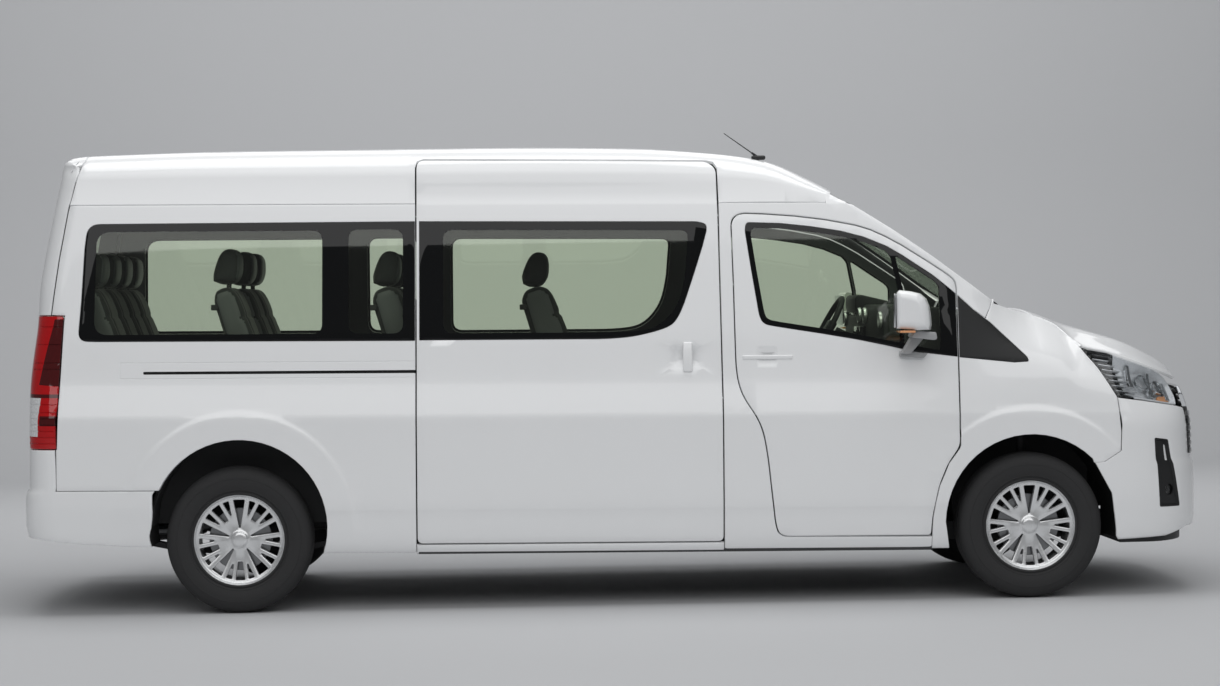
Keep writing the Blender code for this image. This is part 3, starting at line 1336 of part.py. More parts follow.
def build():
    clear_scene()
    bpy.context.scene.collection.children.link(VAN)
    bpy.context.scene.collection.children.link(CUTTERS)
    body = bpy.data.objects.new("body_frame", None)
    VAN.objects.link(body)
    body.location = (BODY_SHIFT_X, 0.0, 0.0)
    body.rotation_euler = (0.0, RAKE, 0.0)
    make_floor(body)
    make_roof(body)
    make_windscreen(body)
    make_quarter_right(body)
    make_side_left(body)
    make_sliding_door(body)
    make_front_frames(body)
    make_fenders(body)
    make_front_doors(body)
    make_mirrors(body)
    make_tail_lamps(body)
    make_headlamps(body)
    make_tailgate(body)
    make_rear_bumper(body)
    make_front_bumper(body)
    make_grille(body)
    make_bonnet(body)
    make_scuttle(body)
    make_aerial(body)
    make_dashboard(body)
    make_steering_wheel(body)
    make_front_seats(body)
    for name, (back_x, width, centres) in SEAT_ROWS.items():
        make_seat_row(name, back_x, width, centres, body)
    for side, label in ((RIGHT, "right"), (LEFT, "left")):
        make_knuckle(side, label)
        for end in ("front", "rear"):
            make_wheel(end, side, label)
    make_subframe()
    make_engine()
    make_rear_axle()
    make_fuel_tank(body)
    make_exhaust(body)
    make_spare_wheel(body)


build()
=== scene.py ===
"""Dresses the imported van: painted panels, glass, lamps, wheels, seats and trim.

Metres, +Z up, +X to the front. The body is drawn level and then stood on its springs,
slightly nose-down. The right-hand side is -Y.
"""
import math

import bmesh
import bpy
import numpy as np
from bpy.props import FloatProperty, FloatVectorProperty, PointerProperty
from mathutils import Matrix, Vector
from mathutils.geometry import delaunay_2d_cdt


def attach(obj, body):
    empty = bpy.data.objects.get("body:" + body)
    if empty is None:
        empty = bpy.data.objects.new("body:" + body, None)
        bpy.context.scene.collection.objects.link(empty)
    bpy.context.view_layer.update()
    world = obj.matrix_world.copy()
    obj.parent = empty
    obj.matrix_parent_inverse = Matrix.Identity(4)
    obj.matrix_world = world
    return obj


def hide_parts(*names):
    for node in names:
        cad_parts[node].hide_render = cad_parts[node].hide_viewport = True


bl_info = {
    "name": "Passenger van",
    "version": (1, 0, 0),
    "blender": (4, 5, 0),
    "location": "View3D > Sidebar > Van",
    "description": "Models the skin, glass, lamps, wheels and seats of a high-roof van",
    "category": "Object",
}

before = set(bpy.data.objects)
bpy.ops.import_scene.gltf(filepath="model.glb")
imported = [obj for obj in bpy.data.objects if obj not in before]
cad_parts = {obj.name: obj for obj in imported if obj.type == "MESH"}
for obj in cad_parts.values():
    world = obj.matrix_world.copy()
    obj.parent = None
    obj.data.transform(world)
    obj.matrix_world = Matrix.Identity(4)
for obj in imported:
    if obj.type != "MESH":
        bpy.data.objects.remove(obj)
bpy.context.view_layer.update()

# ---------------------------------------------------------------- driving sizes
RIGHT, LEFT = -1.0, 1.0
RAKE = math.radians(0.6)
BODY_SHIFT_X = -0.0105
BODY = Matrix.Translation((BODY_SHIFT_X, 0.0, 0.0)) @ Matrix.Rotation(RAKE, 4, "Y")

SHUT_GAP = 0.006
ROOF_JOINT_Z = 1.965
ROOF_REFERENCE = 2.280
HEADER_X = 1.050
HEADER_BOW = 0.082                    # how far the roof's front edge bows forward
PILLAR_BASE_X = 1.877
NOSE_START_X = 2.300
ARCH_CENTRE_Z = 0.400
ARCH_RADIUS = 0.425
FRONT_ARCH_X = 2.045
REAR_ARCH_X = -1.815
FLARE_RADIUS = 0.575
FLARE_DEPTH = 0.007
REAR_CORNER = 0.140


# -------------------------------------------------------------------- colours
def linear(code):
    """Linear colour of an sRGB hex code."""
    parts = [int(code[i:i + 2], 16) / 255 for i in (1, 3, 5)]
    return tuple(c / 12.92 if c <= 0.04045 else ((c + 0.055) / 1.055) ** 2.4 for c in parts)


class VanSizes(bpy.types.PropertyGroup):
    panel_roll: FloatProperty(
        name="Panel roll", description="Radius of the rolled edge of a body panel",
        default=0.0035, min=0.001, max=0.01, unit="LENGTH")
    seat_swell: FloatProperty(
        name="Seat swell", description="Pressure that fills the seat cushions", default=4.0,
        min=0.0, max=10.0)


def colour_property(name, description, code):
    return FloatVectorProperty(name=name, description=description, subtype="COLOR", size=3,
                               min=0.0, max=1.0, default=linear(code))


class VanColours(bpy.types.PropertyGroup):
    paint: colour_property("Body paint", "Colour of the painted panels", "#EFF0F1")
    glass: colour_property("Side glass", "Tint of the side windows", "#F9FDF5")
    seats: colour_property("Seat covers", "Colour of the seat covers", "#2B2C2E")
    backdrop: colour_property("Backdrop", "Colour of the floor and the backdrop", "#BDBEC0")


# --------------------------------------------------------------- body surfaces
class Curve:
    """Smooth curve through a table's rows that never overshoots them."""

    def __init__(self, at, value):
        self.at = np.array(at, float)
        self.value = np.array(value, float)
        step = np.diff(self.at)
        slope = np.diff(self.value) / step
        bend = np.zeros(len(self.at))
        bend[0], bend[-1] = slope[0], slope[-1]
        for i in range(1, len(slope)):
            if slope[i - 1] * slope[i] > 0:
                before, after = 2 * step[i] + step[i - 1], step[i] + 2 * step[i - 1]
                bend[i] = (before + after) / (before / slope[i - 1] + after / slope[i])
        self.bend = bend

    def __call__(self, place):
        place = np.clip(np.asarray(place, float), self.at[0], self.at[-1])
        i = np.clip(np.searchsorted(self.at, place, side="right") - 1, 0, len(self.at) - 2)
        step = self.at[i + 1] - self.at[i]
        t = (place - self.at[i]) / step
        return ((1 + 2 * t) * (1 - t) ** 2 * self.value[i] + t * (1 - t) ** 2 * step * self.bend[i]
                + t * t * (3 - 2 * t) * self.value[i + 1]
                + t * t * (t - 1) * step * self.bend[i + 1])


def curve_of(rows, index):
    return Curve([row[0] for row in rows], [row[index] for row in rows])


def run_lengths(points):
    """Distance along a run of points, at each of them."""
    lengths = [0.0]
    for first, second in zip(points, points[1:]):
        lengths.append(lengths[-1] + math.dist(first, second))
    return lengths


# half width of the side by height: (z, amidships, at the front wheels)
SIDE_PROFILE = [
    (0.255, 0.915, 0.900), (0.285, 0.936, 0.921), (0.345, 0.952, 0.936),
    (0.466, 0.9645, 0.9445), (0.484, 0.9680, 0.9475), (0.700, 0.9735, 0.9530),
    (0.900, 0.9765, 0.9560), (0.927, 0.9760, 0.9555), (0.946, 0.9730, 0.9530),
    (1.088, 0.9475, 0.9370), (1.112, 0.9438, 0.9330), (1.200, 0.9350, 0.9140),
    (1.300, 0.9265, 0.8860), (1.450, 0.9090, 0.8500), (1.870, 0.8610, 0.7700),
    (1.955, 0.8515, 0.7565), (1.966, 0.8500, 0.7550), (1.975, 0.8465, 0.7520),
    (2.105, 0.8335, 0.7370), (2.122, 0.8310, 0.7340), (2.138, 0.8260, 0.7280),
    (2.166, 0.8150, 0.7150), (2.206, 0.7750, 0.6800), (2.228, 0.7350, 0.6450),
    (2.245, 0.6800, 0.6000),
]
CREST = curve_of([(-2.750, 2.233), (-2.575, 2.240), (-2.000, 2.259), (-1.200, 2.268),
                  (-0.400, 2.275), (0.100, 2.269), (0.500, 2.243), (0.737, 2.205),
                  (0.825, 2.172), (0.916, 2.124), (1.015, 2.071), (1.050, 2.052),
                  (1.140, 2.000), (1.300, 1.975)], 1)
PILLAR_LINE = [(1.050, 2.034), (1.183, 1.956), (1.380, 1.833), (1.580, 1.698),
               (1.780, 1.553), (1.877, 1.485)]
BONNET_MIDDLE = curve_of([(1.877, 1.500), (2.085, 1.447), (2.200, 1.410), (2.310, 1.372),
                          (2.434, 1.334), (2.586, 1.290), (2.729, 1.223), (2.830, 1.165),
                          (2.890, 1.112), (2.960, 1.000)], 1)
BONNET_EDGE = curve_of([(1.877, 1.4152), (2.085, 1.404), (2.200, 1.362), (2.310, 1.256),
                        (2.434, 1.225), (2.586, 1.174), (2.729, 1.122), (2.830, 1.090),
                        (2.890, 1.080), (2.960, 1.040)], 1)
SHOULDER = curve_of([(1.877, 0.740), (2.085, 0.700), (2.200, 0.720), (2.310, 0.862)], 1)
NOSE_FACE = curve_of([(0.262, 2.900), (0.300, 2.940), (0.345, 2.962), (0.400, 2.971),
                      (0.550, 2.968), (0.672, 2.962), (0.700, 2.950), (0.800, 2.947),
                      (0.900, 2.944), (0.985, 2.938), (1.100, 2.905), (1.300, 2.860)], 1)
REAR_FACE = [(0.262, -2.880), (0.316, -2.905), (0.360, -2.930), (0.409, -2.940),
             (0.560, -2.936), (0.590, -2.918), (0.759, -2.916), (1.049, -2.916),
             (1.368, -2.883), (1.608, -2.852), (1.847, -2.810), (2.086, -2.763),
             (2.140, -2.751), (2.180, -2.732), (2.203, -2.703), (2.225, -2.660),
             (2.236, -2.615), (2.241, -2.572)]
REAR_TURN_Z = 2.086

SIDE_MIDDLE = curve_of(SIDE_PROFILE, 1)
SIDE_FRONT = curve_of(SIDE_PROFILE, 2)


def ramp(value, start, end):
    """Smooth step from 0 at start to 1 at end."""
    step = np.clip((value - start) / (end - start), 0.0, 1.0)
    return step * step * (3.0 - 2.0 * step)


def roof_scale(x):
    return (CREST(x) - ROOF_JOINT_Z) / (ROOF_REFERENCE - ROOF_JOINT_Z)


def flare(x, z):
    """Soft raised lip round both wheel arches."""
    raised = 0.0
    for centre in (FRONT_ARCH_X, REAR_ARCH_X):
        reach = np.hypot(x - centre, z - ARCH_CENTRE_Z)
        raised = raised + FLARE_DEPTH * (1 - ramp(reach, FLARE_RADIUS - 0.035, FLARE_RADIUS))
    return raised * ramp(z, 0.30, 0.52)


REAR_HEIGHTS = [row[0] for row in REAR_FACE if row[0] <= 2.206]
REAR_BY_HEIGHT = Curve(REAR_HEIGHTS, [row[1] for row in REAR_FACE][:len(REAR_HEIGHTS)])


def rear_crown(z):
    """How far the rear face falls away between its middle and its corners."""
    return 0.060 + 0.015 * (1 - ramp(z, 1.35, 1.60))


def corner_x(z):
    """Station at which the side starts to turn into the rear corner."""
    return REAR_BY_HEIGHT(z) + rear_crown(z) + REAR_CORNER


def straight_width(x, z):
    """Half width of the body side, without the turn of the rear corner."""
    row = np.where(z > ROOF_JOINT_Z, ROOF_JOINT_Z + (z - ROOF_JOINT_Z) / roof_scale(x), z)
    middle = SIDE_MIDDLE(row)
    width = middle + (SIDE_FRONT(row) - middle) * ramp(x, 1.45, 2.10)
    width = width - 0.018 * np.clip((-2.0 - x) / 0.75, 0.0, 1.0) ** 2
    edge_z = BONNET_EDGE(x) + 0.25 * np.maximum(0.0, 2.085 - x)
    share = np.clip((z - edge_z + 0.25) / 0.25, 0.0, 1.0)
    pull = ramp(x, PILLAR_BASE_X - 0.10, 2.085)
    width = width - pull * (width - SHOULDER(x)) * share ** 2.5
    return width + flare(x, z)


def half_width(x, z):
    """Half width of the body side at a station and height."""
    turn = np.clip((corner_x(z) - x) / REAR_CORNER, 0.0, 1.0)
    return straight_width(x, z) - REAR_CORNER * (1 - np.sqrt(1 - np.minimum(turn, 0.9999) ** 2))


def side(u, v):
    """Left-hand body side by station and height."""
    return np.stack([u, half_width(u, v), v], axis=-1)


def nose_power(z):
    """How square the nose is, seen from above: the bumper more than the bonnet."""
    return 3.6 - 1.0 * ramp(z, 0.85, 1.10)


def nose_at(turn, z):
    """Plan curve of the nose at a height: turn 0 at the side, 1 at the middle."""
    power = 2.0 / nose_power(z)
    angle = turn * math.pi / 2
    start = half_width(np.full_like(z, NOSE_START_X), z)
    x = NOSE_START_X + (NOSE_FACE(z) - NOSE_START_X) * np.sin(angle) ** power
    return x, start * np.maximum(0.0, np.cos(angle)) ** power


def nose_girths():
    turns = np.linspace(0.0, 1.0, 400)
    x, y = nose_at(turns, np.full_like(turns, 0.60))
    lengths = np.concatenate([[0.0], np.cumsum(np.hypot(np.diff(x), np.diff(y)))])
    return turns, lengths


NOSE_TURNS, NOSE_LENGTHS = nose_girths()
NOSE_GIRTH = NOSE_LENGTHS[-1]


def nose(u, v):
    """Nose by distance round it from the middle (left is positive) and height."""
    reach = NOSE_GIRTH - np.abs(u)
    turn = np.interp(reach, NOSE_LENGTHS, NOSE_TURNS)
    x, y = nose_at(turn, v)
    behind = reach < 0
    x = np.where(behind, NOSE_START_X + reach, x)
    y = np.where(behind, half_width(np.minimum(x, NOSE_START_X), v), y)
    return np.stack([x, y * np.where(u < 0, -1.0, 1.0), v], axis=-1)


def nose_place(x, z):
    """Distance from the nose's middle at which it has this station, at this height."""
    turns = np.linspace(0.0, 1.0, 400)
    xs, _ = nose_at(turns, np.full_like(turns, z))
    if x <= NOSE_START_X:
        return NOSE_GIRTH + NOSE_START_X - x
    return NOSE_GIRTH - float(np.interp(np.interp(x, xs, turns), NOSE_TURNS, NOSE_LENGTHS))


def rear_tables():
    """The rear face by distance up it; that is its height as far as the roof's turn."""
    climb = [REAR_FACE[0][0]]
    for first, second in zip(REAR_FACE, REAR_FACE[1:]):
        step = second[0] - first[0] if second[0] <= REAR_TURN_Z else math.dist(first, second)
        climb.append(climb[-1] + step)
    up, back = [Curve(climb, [row[k] for row in REAR_FACE]) for k in (0, 1)]
    return up, back, climb[-1]


REAR_Z, REAR_X, REAR_TOP = rear_tables()


def roof_drop(y):
    """How far the roof's rear edge lies below its middle."""
    return np.interp(np.abs(y), [0.0, 0.2, 0.42, 0.60, 0.68, 0.735, 0.775, 0.815],
                     [0.0, 0.003, 0.012, 0.024, 0.032, 0.047, 0.067, 0.103])


def rear(u, v):
    """Rear face and its corners, by distance round from the middle and distance up."""
    mid_z = REAR_Z(v)
    width_z = np.minimum(mid_z, 2.15)
    width = straight_width(corner_x(width_z), width_z)
    flat = width - REAR_CORNER
    reach = np.abs(u)
    turn = np.clip((reach - flat) / REAR_CORNER, 0.0, math.pi / 2)
    round_off = rear_crown(width_z) * np.minimum(1.0, reach / flat) ** 2
    round_off = round_off + REAR_CORNER * (1 - np.cos(turn))
    ahead = np.maximum(0.0, reach - flat - REAR_CORNER * math.pi / 2)
    round_off = round_off + ahead
    top = ramp(v, REAR_TURN_Z, REAR_TOP)
    x = REAR_X(v) + round_off * (1 - top)
    y = np.minimum(reach, flat) + REAR_CORNER * np.sin(turn)
    y = np.where(ahead > 0, straight_width(x, mid_z), y)
    z = mid_z - roof_drop(y) * top
    return np.stack([x, y * np.where(u < 0, -1.0, 1.0), z], axis=-1)


def rear_place(x, z):
    """Distance round the rear, from its middle, at which it has this station."""
    reaches = np.linspace(0.5, 1.9, 1400)
    return float(np.interp(x, rear(reaches, np.full_like(reaches, z))[:, 0], reaches))


# the roof's section: (half width amidships, half width at the front, height at full scale)
ROOF_SECTION = [(row[1], row[2], row[0]) for row in SIDE_PROFILE if row[0] >= 1.966]
ROOF_SECTION += [(0.600, 0.530, 2.2540), (0.420, 0.370, 2.2670), (0.200, 0.176, 2.2770),
                 (0.0, 0.0, 2.2800)]
ROOF_STEPS = run_lengths([row[::2] for row in ROOF_SECTION[::-1]])
ROOF_GIRTH = ROOF_STEPS[-1]
ROOF_Y, ROOF_Y_FRONT, ROOF_Z = [Curve(ROOF_STEPS, [row[k] for row in ROOF_SECTION[::-1]])
                                for k in (0, 1, 2)]


def roof(u, v):
    """Roof by station and distance round its section from the middle."""
    reach = np.abs(v)
    y = ROOF_Y(reach) + (ROOF_Y_FRONT(reach) - ROOF_Y(reach)) * ramp(u, 1.45, 2.10)
    y = y - 0.018 * np.clip((-2.0 - u) / 0.75, 0.0, 1.0) ** 2
    back = HEADER_BOW * ramp(u, 0.45, 1.05) * np.clip(1 - (y / 0.75) ** 2, 0.0, 1.0)
    z = ROOF_JOINT_Z + (ROOF_Z(reach) - ROOF_JOINT_Z) * roof_scale(u - back)
    return np.stack([u, y * np.where(v < 0, -1.0, 1.0), z], axis=-1)


def bonnet_reach(x):
    """Half width of the bonnet's edge at a station."""
    if x < NOSE_START_X + 0.012:
        return float(SHOULDER(x))
    turns = np.linspace(0.0, 1.0, 300)
    xs, ys = nose_at(turns, np.full_like(turns, float(BONNET_EDGE(x))))
    return float(np.interp(x, xs, ys))


BONNET_XS = np.linspace(1.877, 2.925, 200)
BONNET_REACH = Curve(BONNET_XS, [bonnet_reach(x) for x in BONNET_XS])


def bonnet(u, v):
    """Bonnet by station and distance from the middle."""
    share = np.abs(v) / BONNET_REACH(u)
    middle, edge = BONNET_MIDDLE(u), BONNET_EDGE(u)
    crease = 0.010 * np.exp(-((share - 0.62) / 0.10) ** 2) * ramp(u, 2.15, 2.45)
    z = middle - (middle - edge) * share ** 2.6 + crease
    return np.stack([u, v, z], axis=-1)


SCREEN_LINE = [(HEADER_X + 0.002, 2.024)] + PILLAR_LINE[1:] + [(1.922, 1.460)]
SCREEN_STEPS = run_lengths(SCREEN_LINE)
SCREEN_X, SCREEN_Z = [Curve(SCREEN_STEPS, [p[k] for p in SCREEN_LINE]) for k in (0, 1)]
SCREEN_HEIGHT = SCREEN_STEPS[-1]
SCREEN_REACH = 0.80


def screen(u, v):
    """Windscreen by distance from the middle and distance down from the roof."""
    step = v / SCREEN_HEIGHT
    x, z = SCREEN_X(v), SCREEN_Z(v)
    edge = half_width(x, z) - 0.063
    share = u / SCREEN_REACH
    bow = 1.0 - share * share
    top_x = HEADER_X + 0.004 + HEADER_BOW
    middle_x = top_x + (1.998 - top_x) * step
    middle_z = 2.044 + (1.426 - 2.044) * step
    return np.stack([x + (middle_x - x) * bow, edge * share, z + (middle_z - z) * bow], axis=-1)


# ------------------------------------------------------------- outlines and panels
def rounded(points, steps=6):
    """Outline with its corners rounded: each point is (u, v) or (u, v, length of the turn)."""
    result = []
    count = len(points)
    for i, point in enumerate(points):
        corner = Vector(point[:2])
        size = point[2] if len(point) > 2 else 0.0
        if size == 0.0:
            result.append(corner)
            continue
        before = Vector(points[i - 1][:2]) - corner
        after = Vector(points[(i + 1) % count][:2]) - corner
        start = corner + before.normalized() * min(size, 0.49 * before.length)
        end = corner + after.normalized() * min(size, 0.49 * after.length)
        for k in range(steps + 1):
            t = k / steps
            result.append(start * (1 - t) ** 2 + corner * 2 * t * (1 - t) + end * t * t)
    return result


def vectors(points):
    return [Vector(point[:2]) for point in points]


def oblong(low, high, turn=0.0):
    """Corners of an upright rectangle, each with the length of its turn."""
    return [(low[0], low[1], turn), (high[0], low[1], turn), (high[0], high[1], turn),
            (low[0], high[1], turn)]


def round_ring(middle, radius, count):
    """Points round a circle."""
    turns = [2 * math.pi * k / count for k in range(count)]
    return [Vector((middle[0] + radius * math.cos(a), middle[1] + radius * math.sin(a)))
            for a in turns]


def loop(points, step=0.05):
    """A closed outline: its corners rounded and its long edges divided."""
    return spaced(rounded(points), step)


def spaced(points, step):
    """The outline with its long edges divided."""
    result = []
    for first, second in zip(points, points[1:] + points[:1]):
        parts = max(1, math.ceil((second - first).length / step))
        result += [first.lerp(second, k / parts) for k in range(parts)]
    return result


def grown(points, amount):
    """The outline moved outwards, or inwards if the amount is negative."""
    area = sum(a.x * b.y - b.x * a.y for a, b in zip(points, points[1:] + points[:1]))
    turn = 1.0 if area > 0 else -1.0
    result = []
    for i, point in enumerate(points):
        before = (point - points[i - 1]).normalized()
        after = (points[(i + 1) % len(points)] - point).normalized()
        normal = Vector((before.y + after.y, -before.x - after.x)) * turn
        if normal.length < 1e-6:
            normal = Vector((before.y, -before.x)) * turn
        normal.normalize()
        lean = max(0.35, normal.dot(Vector((before.y, -before.x)) * turn))
        result.append(point + normal * (amount / lean))
    return result


def inside(places, outline):
    """Which of the places lie inside the outline."""
    ring = np.array([(p[0], p[1]) for p in outline])
    after = np.roll(ring, -1, axis=0)
    x, y = places[:, 0:1], places[:, 1:2]
    crosses = (ring[:, 1] > y) != (after[:, 1] > y)
    height = np.where(after[:, 1] == ring[:, 1], 1e-12, after[:, 1] - ring[:, 1])
    at = (after[:, 0] - ring[:, 0]) * (y - ring[:, 1]) / height + ring[:, 0]
    return (crosses & (x < at)).sum(axis=1) % 2 == 1


def distance(places, outline, closed=True):
    """Distance of each place from the outline."""
    ring = np.array([(p[0], p[1]) for p in outline])
    starts = ring if closed else ring[:-1]
    ways = (np.roll(ring, -1, axis=0) - ring)[:len(starts)]
    best = np.full(len(places), 1e9)
    for start, way in zip(starts, ways):
        length = max(1e-12, float(way @ way))
        t = np.clip((places - start) @ way / length, 0.0, 1.0)
        best = np.minimum(best, np.hypot(*(places - start - t[:, None] * way).T))
    return best


def flat_panel(outline, rows, columns, holes=(), patches=(), dents=(), lines=(), falls=(),
               roll=0.0035, lift=0.0):
    """A panel drawn flat, with its edges rolled down.

    patches are (outline, material index); dents are (outline, depth, wall's width);
    lines are extra grid lines; falls are (points, radius), where an edge is rounder.
    """
    rings = []
    for ring in [outline] + list(holes):
        sign = -1.0 if ring is outline else 1.0
        rings += [ring, grown(ring, sign * roll * 0.35), grown(ring, sign * roll)]
    rings += [patch[0] for patch in patches]
    for ring, _, wall in dents:
        rings += [ring, grown(ring, -wall / 2), grown(ring, -wall)]
    for _, radius in falls:
        rings += [grown(outline, -radius * share) for share in (0.3, 0.6, 1.0)]
    low = [min(p[k] for p in outline) - 0.01 for k in (0, 1)]
    high = [max(p[k] for p in outline) + 0.01 for k in (0, 1)]
    runs = [[(low[0], v), (high[0], v)] for v in rows if low[1] < v < high[1]]
    runs += [[(u, low[1]), (u, high[1])] for u in columns if low[0] < u < high[0]]
    runs += [run for run in lines if max(p[0] for p in run) > low[0]
             and min(p[0] for p in run) < high[0]]
    points, edges = [], []
    for ring in rings:
        first = len(points)
        points += [Vector(p) for p in ring]
        edges += [(first + k, first + (k + 1) % len(ring)) for k in range(len(ring))]
    for run in runs:
        first = len(points)
        points += [Vector(p) for p in run]
        edges += [(first + k, first + k + 1) for k in range(len(run) - 1)]
    places, _, faces, _, _, _ = delaunay_2d_cdt(points, edges, [], 0, 1e-6)
    flat = np.array([(p.x, p.y) for p in places])
    triangles = np.array(faces)
    middles = flat[triangles].mean(axis=1)
    keep = inside(middles, outline)
    for hole in holes:
        keep &= ~inside(middles, hole)
    index = np.zeros(len(triangles), int)
    for patch, material in patches:
        index[inside(middles, patch)] = material
    used = np.unique(triangles[keep])
    spots = flat[used]
    edge = distance(spots, outline)
    for hole in holes:
        edge = np.minimum(edge, distance(spots, hole))
    down = roll * (1 - np.sqrt(1 - (1 - np.clip(edge / roll, 0, 1)) ** 2))
    for run, radius in falls:
        near = np.clip(distance(spots, run, False) / radius, 0, 1)
        down = np.maximum(down, radius * (1 - np.sqrt(1 - (1 - near) ** 2)))
    for ring, depth, wall in dents:
        within = inside(spots, ring) * np.clip(distance(spots, ring) / wall, 0, 1)
        down = down + depth * (within * within * (3 - 2 * within))
    bm = bmesh.new()
    verts = {k: bm.verts.new((spot[0], spot[1], lift - fall))
             for k, spot, fall in zip(used, spots, down)}
    for triangle, material in zip(triangles[keep], index[keep]):
        bm.faces.new([verts[k] for k in triangle]).material_index = int(material)
    return bm


def thicken(bm, depth, lining=None):
    """Give the flat panel its thickness; its inner face takes the lining's material."""
    grown_part = bmesh.ops.extrude_face_region(bm, geom=bm.faces[:], use_keep_orig=True)["geom"]
    inner = {item for item in grown_part if isinstance(item, bmesh.types.BMVert)}
    for vert in inner:
        vert.co.z = -depth
    inner_faces = [item for item in grown_part if isinstance(item, bmesh.types.BMFace)]
    bmesh.ops.reverse_faces(bm, faces=inner_faces)
    if lining is not None:
        for face in inner_faces:
            face.material_index = lining
    return bm


def bend(bm, surface, hand=1.0):
    """Lay a flat panel on a surface; its height becomes the distance outwards."""
    flat = np.array([vert.co[:] for vert in bm.verts])
    u, v = flat[:, 0], flat[:, 1]
    tiny = 1e-3
    across = surface(u + tiny, v) - surface(u - tiny, v)
    along = surface(u, v + tiny) - surface(u, v - tiny)
    normal = np.cross(across, along)
    normal /= np.maximum(1e-12, np.linalg.norm(normal, axis=1))[:, None]
    middle = np.array([0.0, 0.0, 1.1])
    place = surface(u, v)
    if float(((place - middle) * normal).sum()) < 0:
        normal = -normal
    place = place + normal * flat[:, 2:3]
    place[:, 1] *= hand
    for vert, spot in zip(bm.verts, place):
        vert.co = spot
    bmesh.ops.recalc_face_normals(bm, faces=bm.faces)
    return bm


# ------------------------------------------------------------------ finishing
def mesh_of(bm, name, sharp=32.0, tilt=True):
    """The finished mesh, stood on its springs if it belongs to the body."""
    if tilt:
        bmesh.ops.transform(bm, matrix=BODY, verts=bm.verts)
    if not any(edge.is_boundary for edge in bm.edges):
        bmesh.ops.recalc_face_normals(bm, faces=bm.faces)
    mesh = bpy.data.meshes.new(name)
    bm.to_mesh(mesh)
    bm.free()
    mesh.shade_smooth()
    mesh.set_sharp_from_angle(angle=math.radians(sharp))
    return mesh


def piece(name, shape, finishes, node=None, body="van_body", sharp=32.0):
    """A finished piece, from a bmesh or mesh: it rides on a body and may stand for a CAD node."""
    mesh = shape if isinstance(shape, bpy.types.Mesh) else mesh_of(shape, name, sharp)
    item = bpy.data.objects.new(name, mesh)
    bpy.context.scene.collection.objects.link(item)
    for finish in finishes:
        mesh.materials.append(finish_of(finish))
    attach(item, body)
    if node:
        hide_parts(node)
    return item


def mirror_of(mesh, name):
    """The same mesh for the van's other side."""
    bm = bmesh.new()
    bm.from_mesh(mesh)
    for vert in bm.verts:
        vert.co.y = -vert.co.y
    bmesh.ops.reverse_faces(bm, faces=bm.faces)
    other = mesh.copy()
    other.name = name
    bm.to_mesh(other)
    bm.free()
    other.set_sharp_from_angle(angle=math.radians(32.0))
    return other


def pair(name, shape, finishes, node=None, body="van_body", sharp=32.0):
    """A right-hand piece and its mirror image; body and node are given without the side."""
    mesh = mesh_of(shape, name, sharp)
    for label, each in (("_right", mesh), ("_left", mirror_of(mesh, name + "_left"))):
        own = body if body == "van_body" else body + label
        piece(name + label, each, finishes, node and node + label, own)


def spread(start, end, step):
    """Evenly spaced values from start to end, no further apart than step."""
    parts = max(1, math.ceil((end - start) / step))
    return [start + (end - start) * k / parts for k in range(parts + 1)]


def side_rows(low=0.25, high=2.30):
    """Heights of a side panel's grid: close together along the creases."""
    rows = [row[0] for row in SIDE_PROFILE]
    for first, second in zip(SIDE_PROFILE, SIDE_PROFILE[1:]):
        if second[0] - first[0] > 0.045:
            rows += spread(first[0], second[0], 0.045)[1:-1]
        elif second[0] - first[0] > 0.012:
            rows.append((first[0] + second[0]) / 2)
    return [z for z in sorted(rows) if low < z < high]


# ------------------------------------------------------------------ materials
def add(tree, kind, inputs=(), **settings):
    """Add a node, set its properties, and set or link its sockets."""
    node = tree.nodes.new(kind)
    for key, value in settings.items():
        setattr(node, key, value)
    for key, value in dict(inputs).items():
        if isinstance(value, bpy.types.NodeSocket):
            tree.links.new(value, node.inputs[key])
        else:
            node.inputs[key].default_value = value
    return node


def surface(name, colour, rough, cell, spread, bump=0.0, constants=None, stretch=(1, 1, 1)):
    """A finish: its colour and roughness vary over cells of a real size, in metres.

    rough is (least, most); bump is the height of the grain in metres.
    """
    made = bpy.data.materials.new(name)
    made.use_nodes = True
    tree = made.node_tree
    tree.nodes.clear()
    place = add(tree, "ShaderNodeTexCoord")
    spaced_out = add(tree, "ShaderNodeMapping",
                     {"Vector": place.outputs["Object"], "Scale": stretch})
    noise = add(tree, "ShaderNodeTexNoise",
                {"Vector": spaced_out.outputs["Vector"], "Scale": 1 / cell, "Detail": 3.0,
                 "Roughness": 0.6})
    tone = add(tree, "ShaderNodeMixRGB",
               {"Fac": noise.outputs["Fac"],
                "Color1": (*[c * (1 - spread) for c in colour], 1),
                "Color2": (*[min(1.0, c * (1 + spread)) for c in colour], 1)})
    shine = add(tree, "ShaderNodeMapRange",
                {"Value": noise.outputs["Fac"], "From Min": 0.3, "From Max": 0.7,
                 "To Min": rough[0], "To Max": rough[1]})
    shader = add(tree, "ShaderNodeBsdfPrincipled",
                 {"Base Color": tone.outputs["Color"], "Roughness": shine.outputs["Result"],
                  **(constants or {})})
    if bump:
        relief = add(tree, "ShaderNodeBump", {"Height": noise.outputs["Fac"], "Strength": 1.0,
                                              "Distance": bump})
        tree.links.new(relief.outputs["Normal"], shader.inputs["Normal"])
    add(tree, "ShaderNodeOutputMaterial", {"Surface": shader.outputs["BSDF"]})
    return made


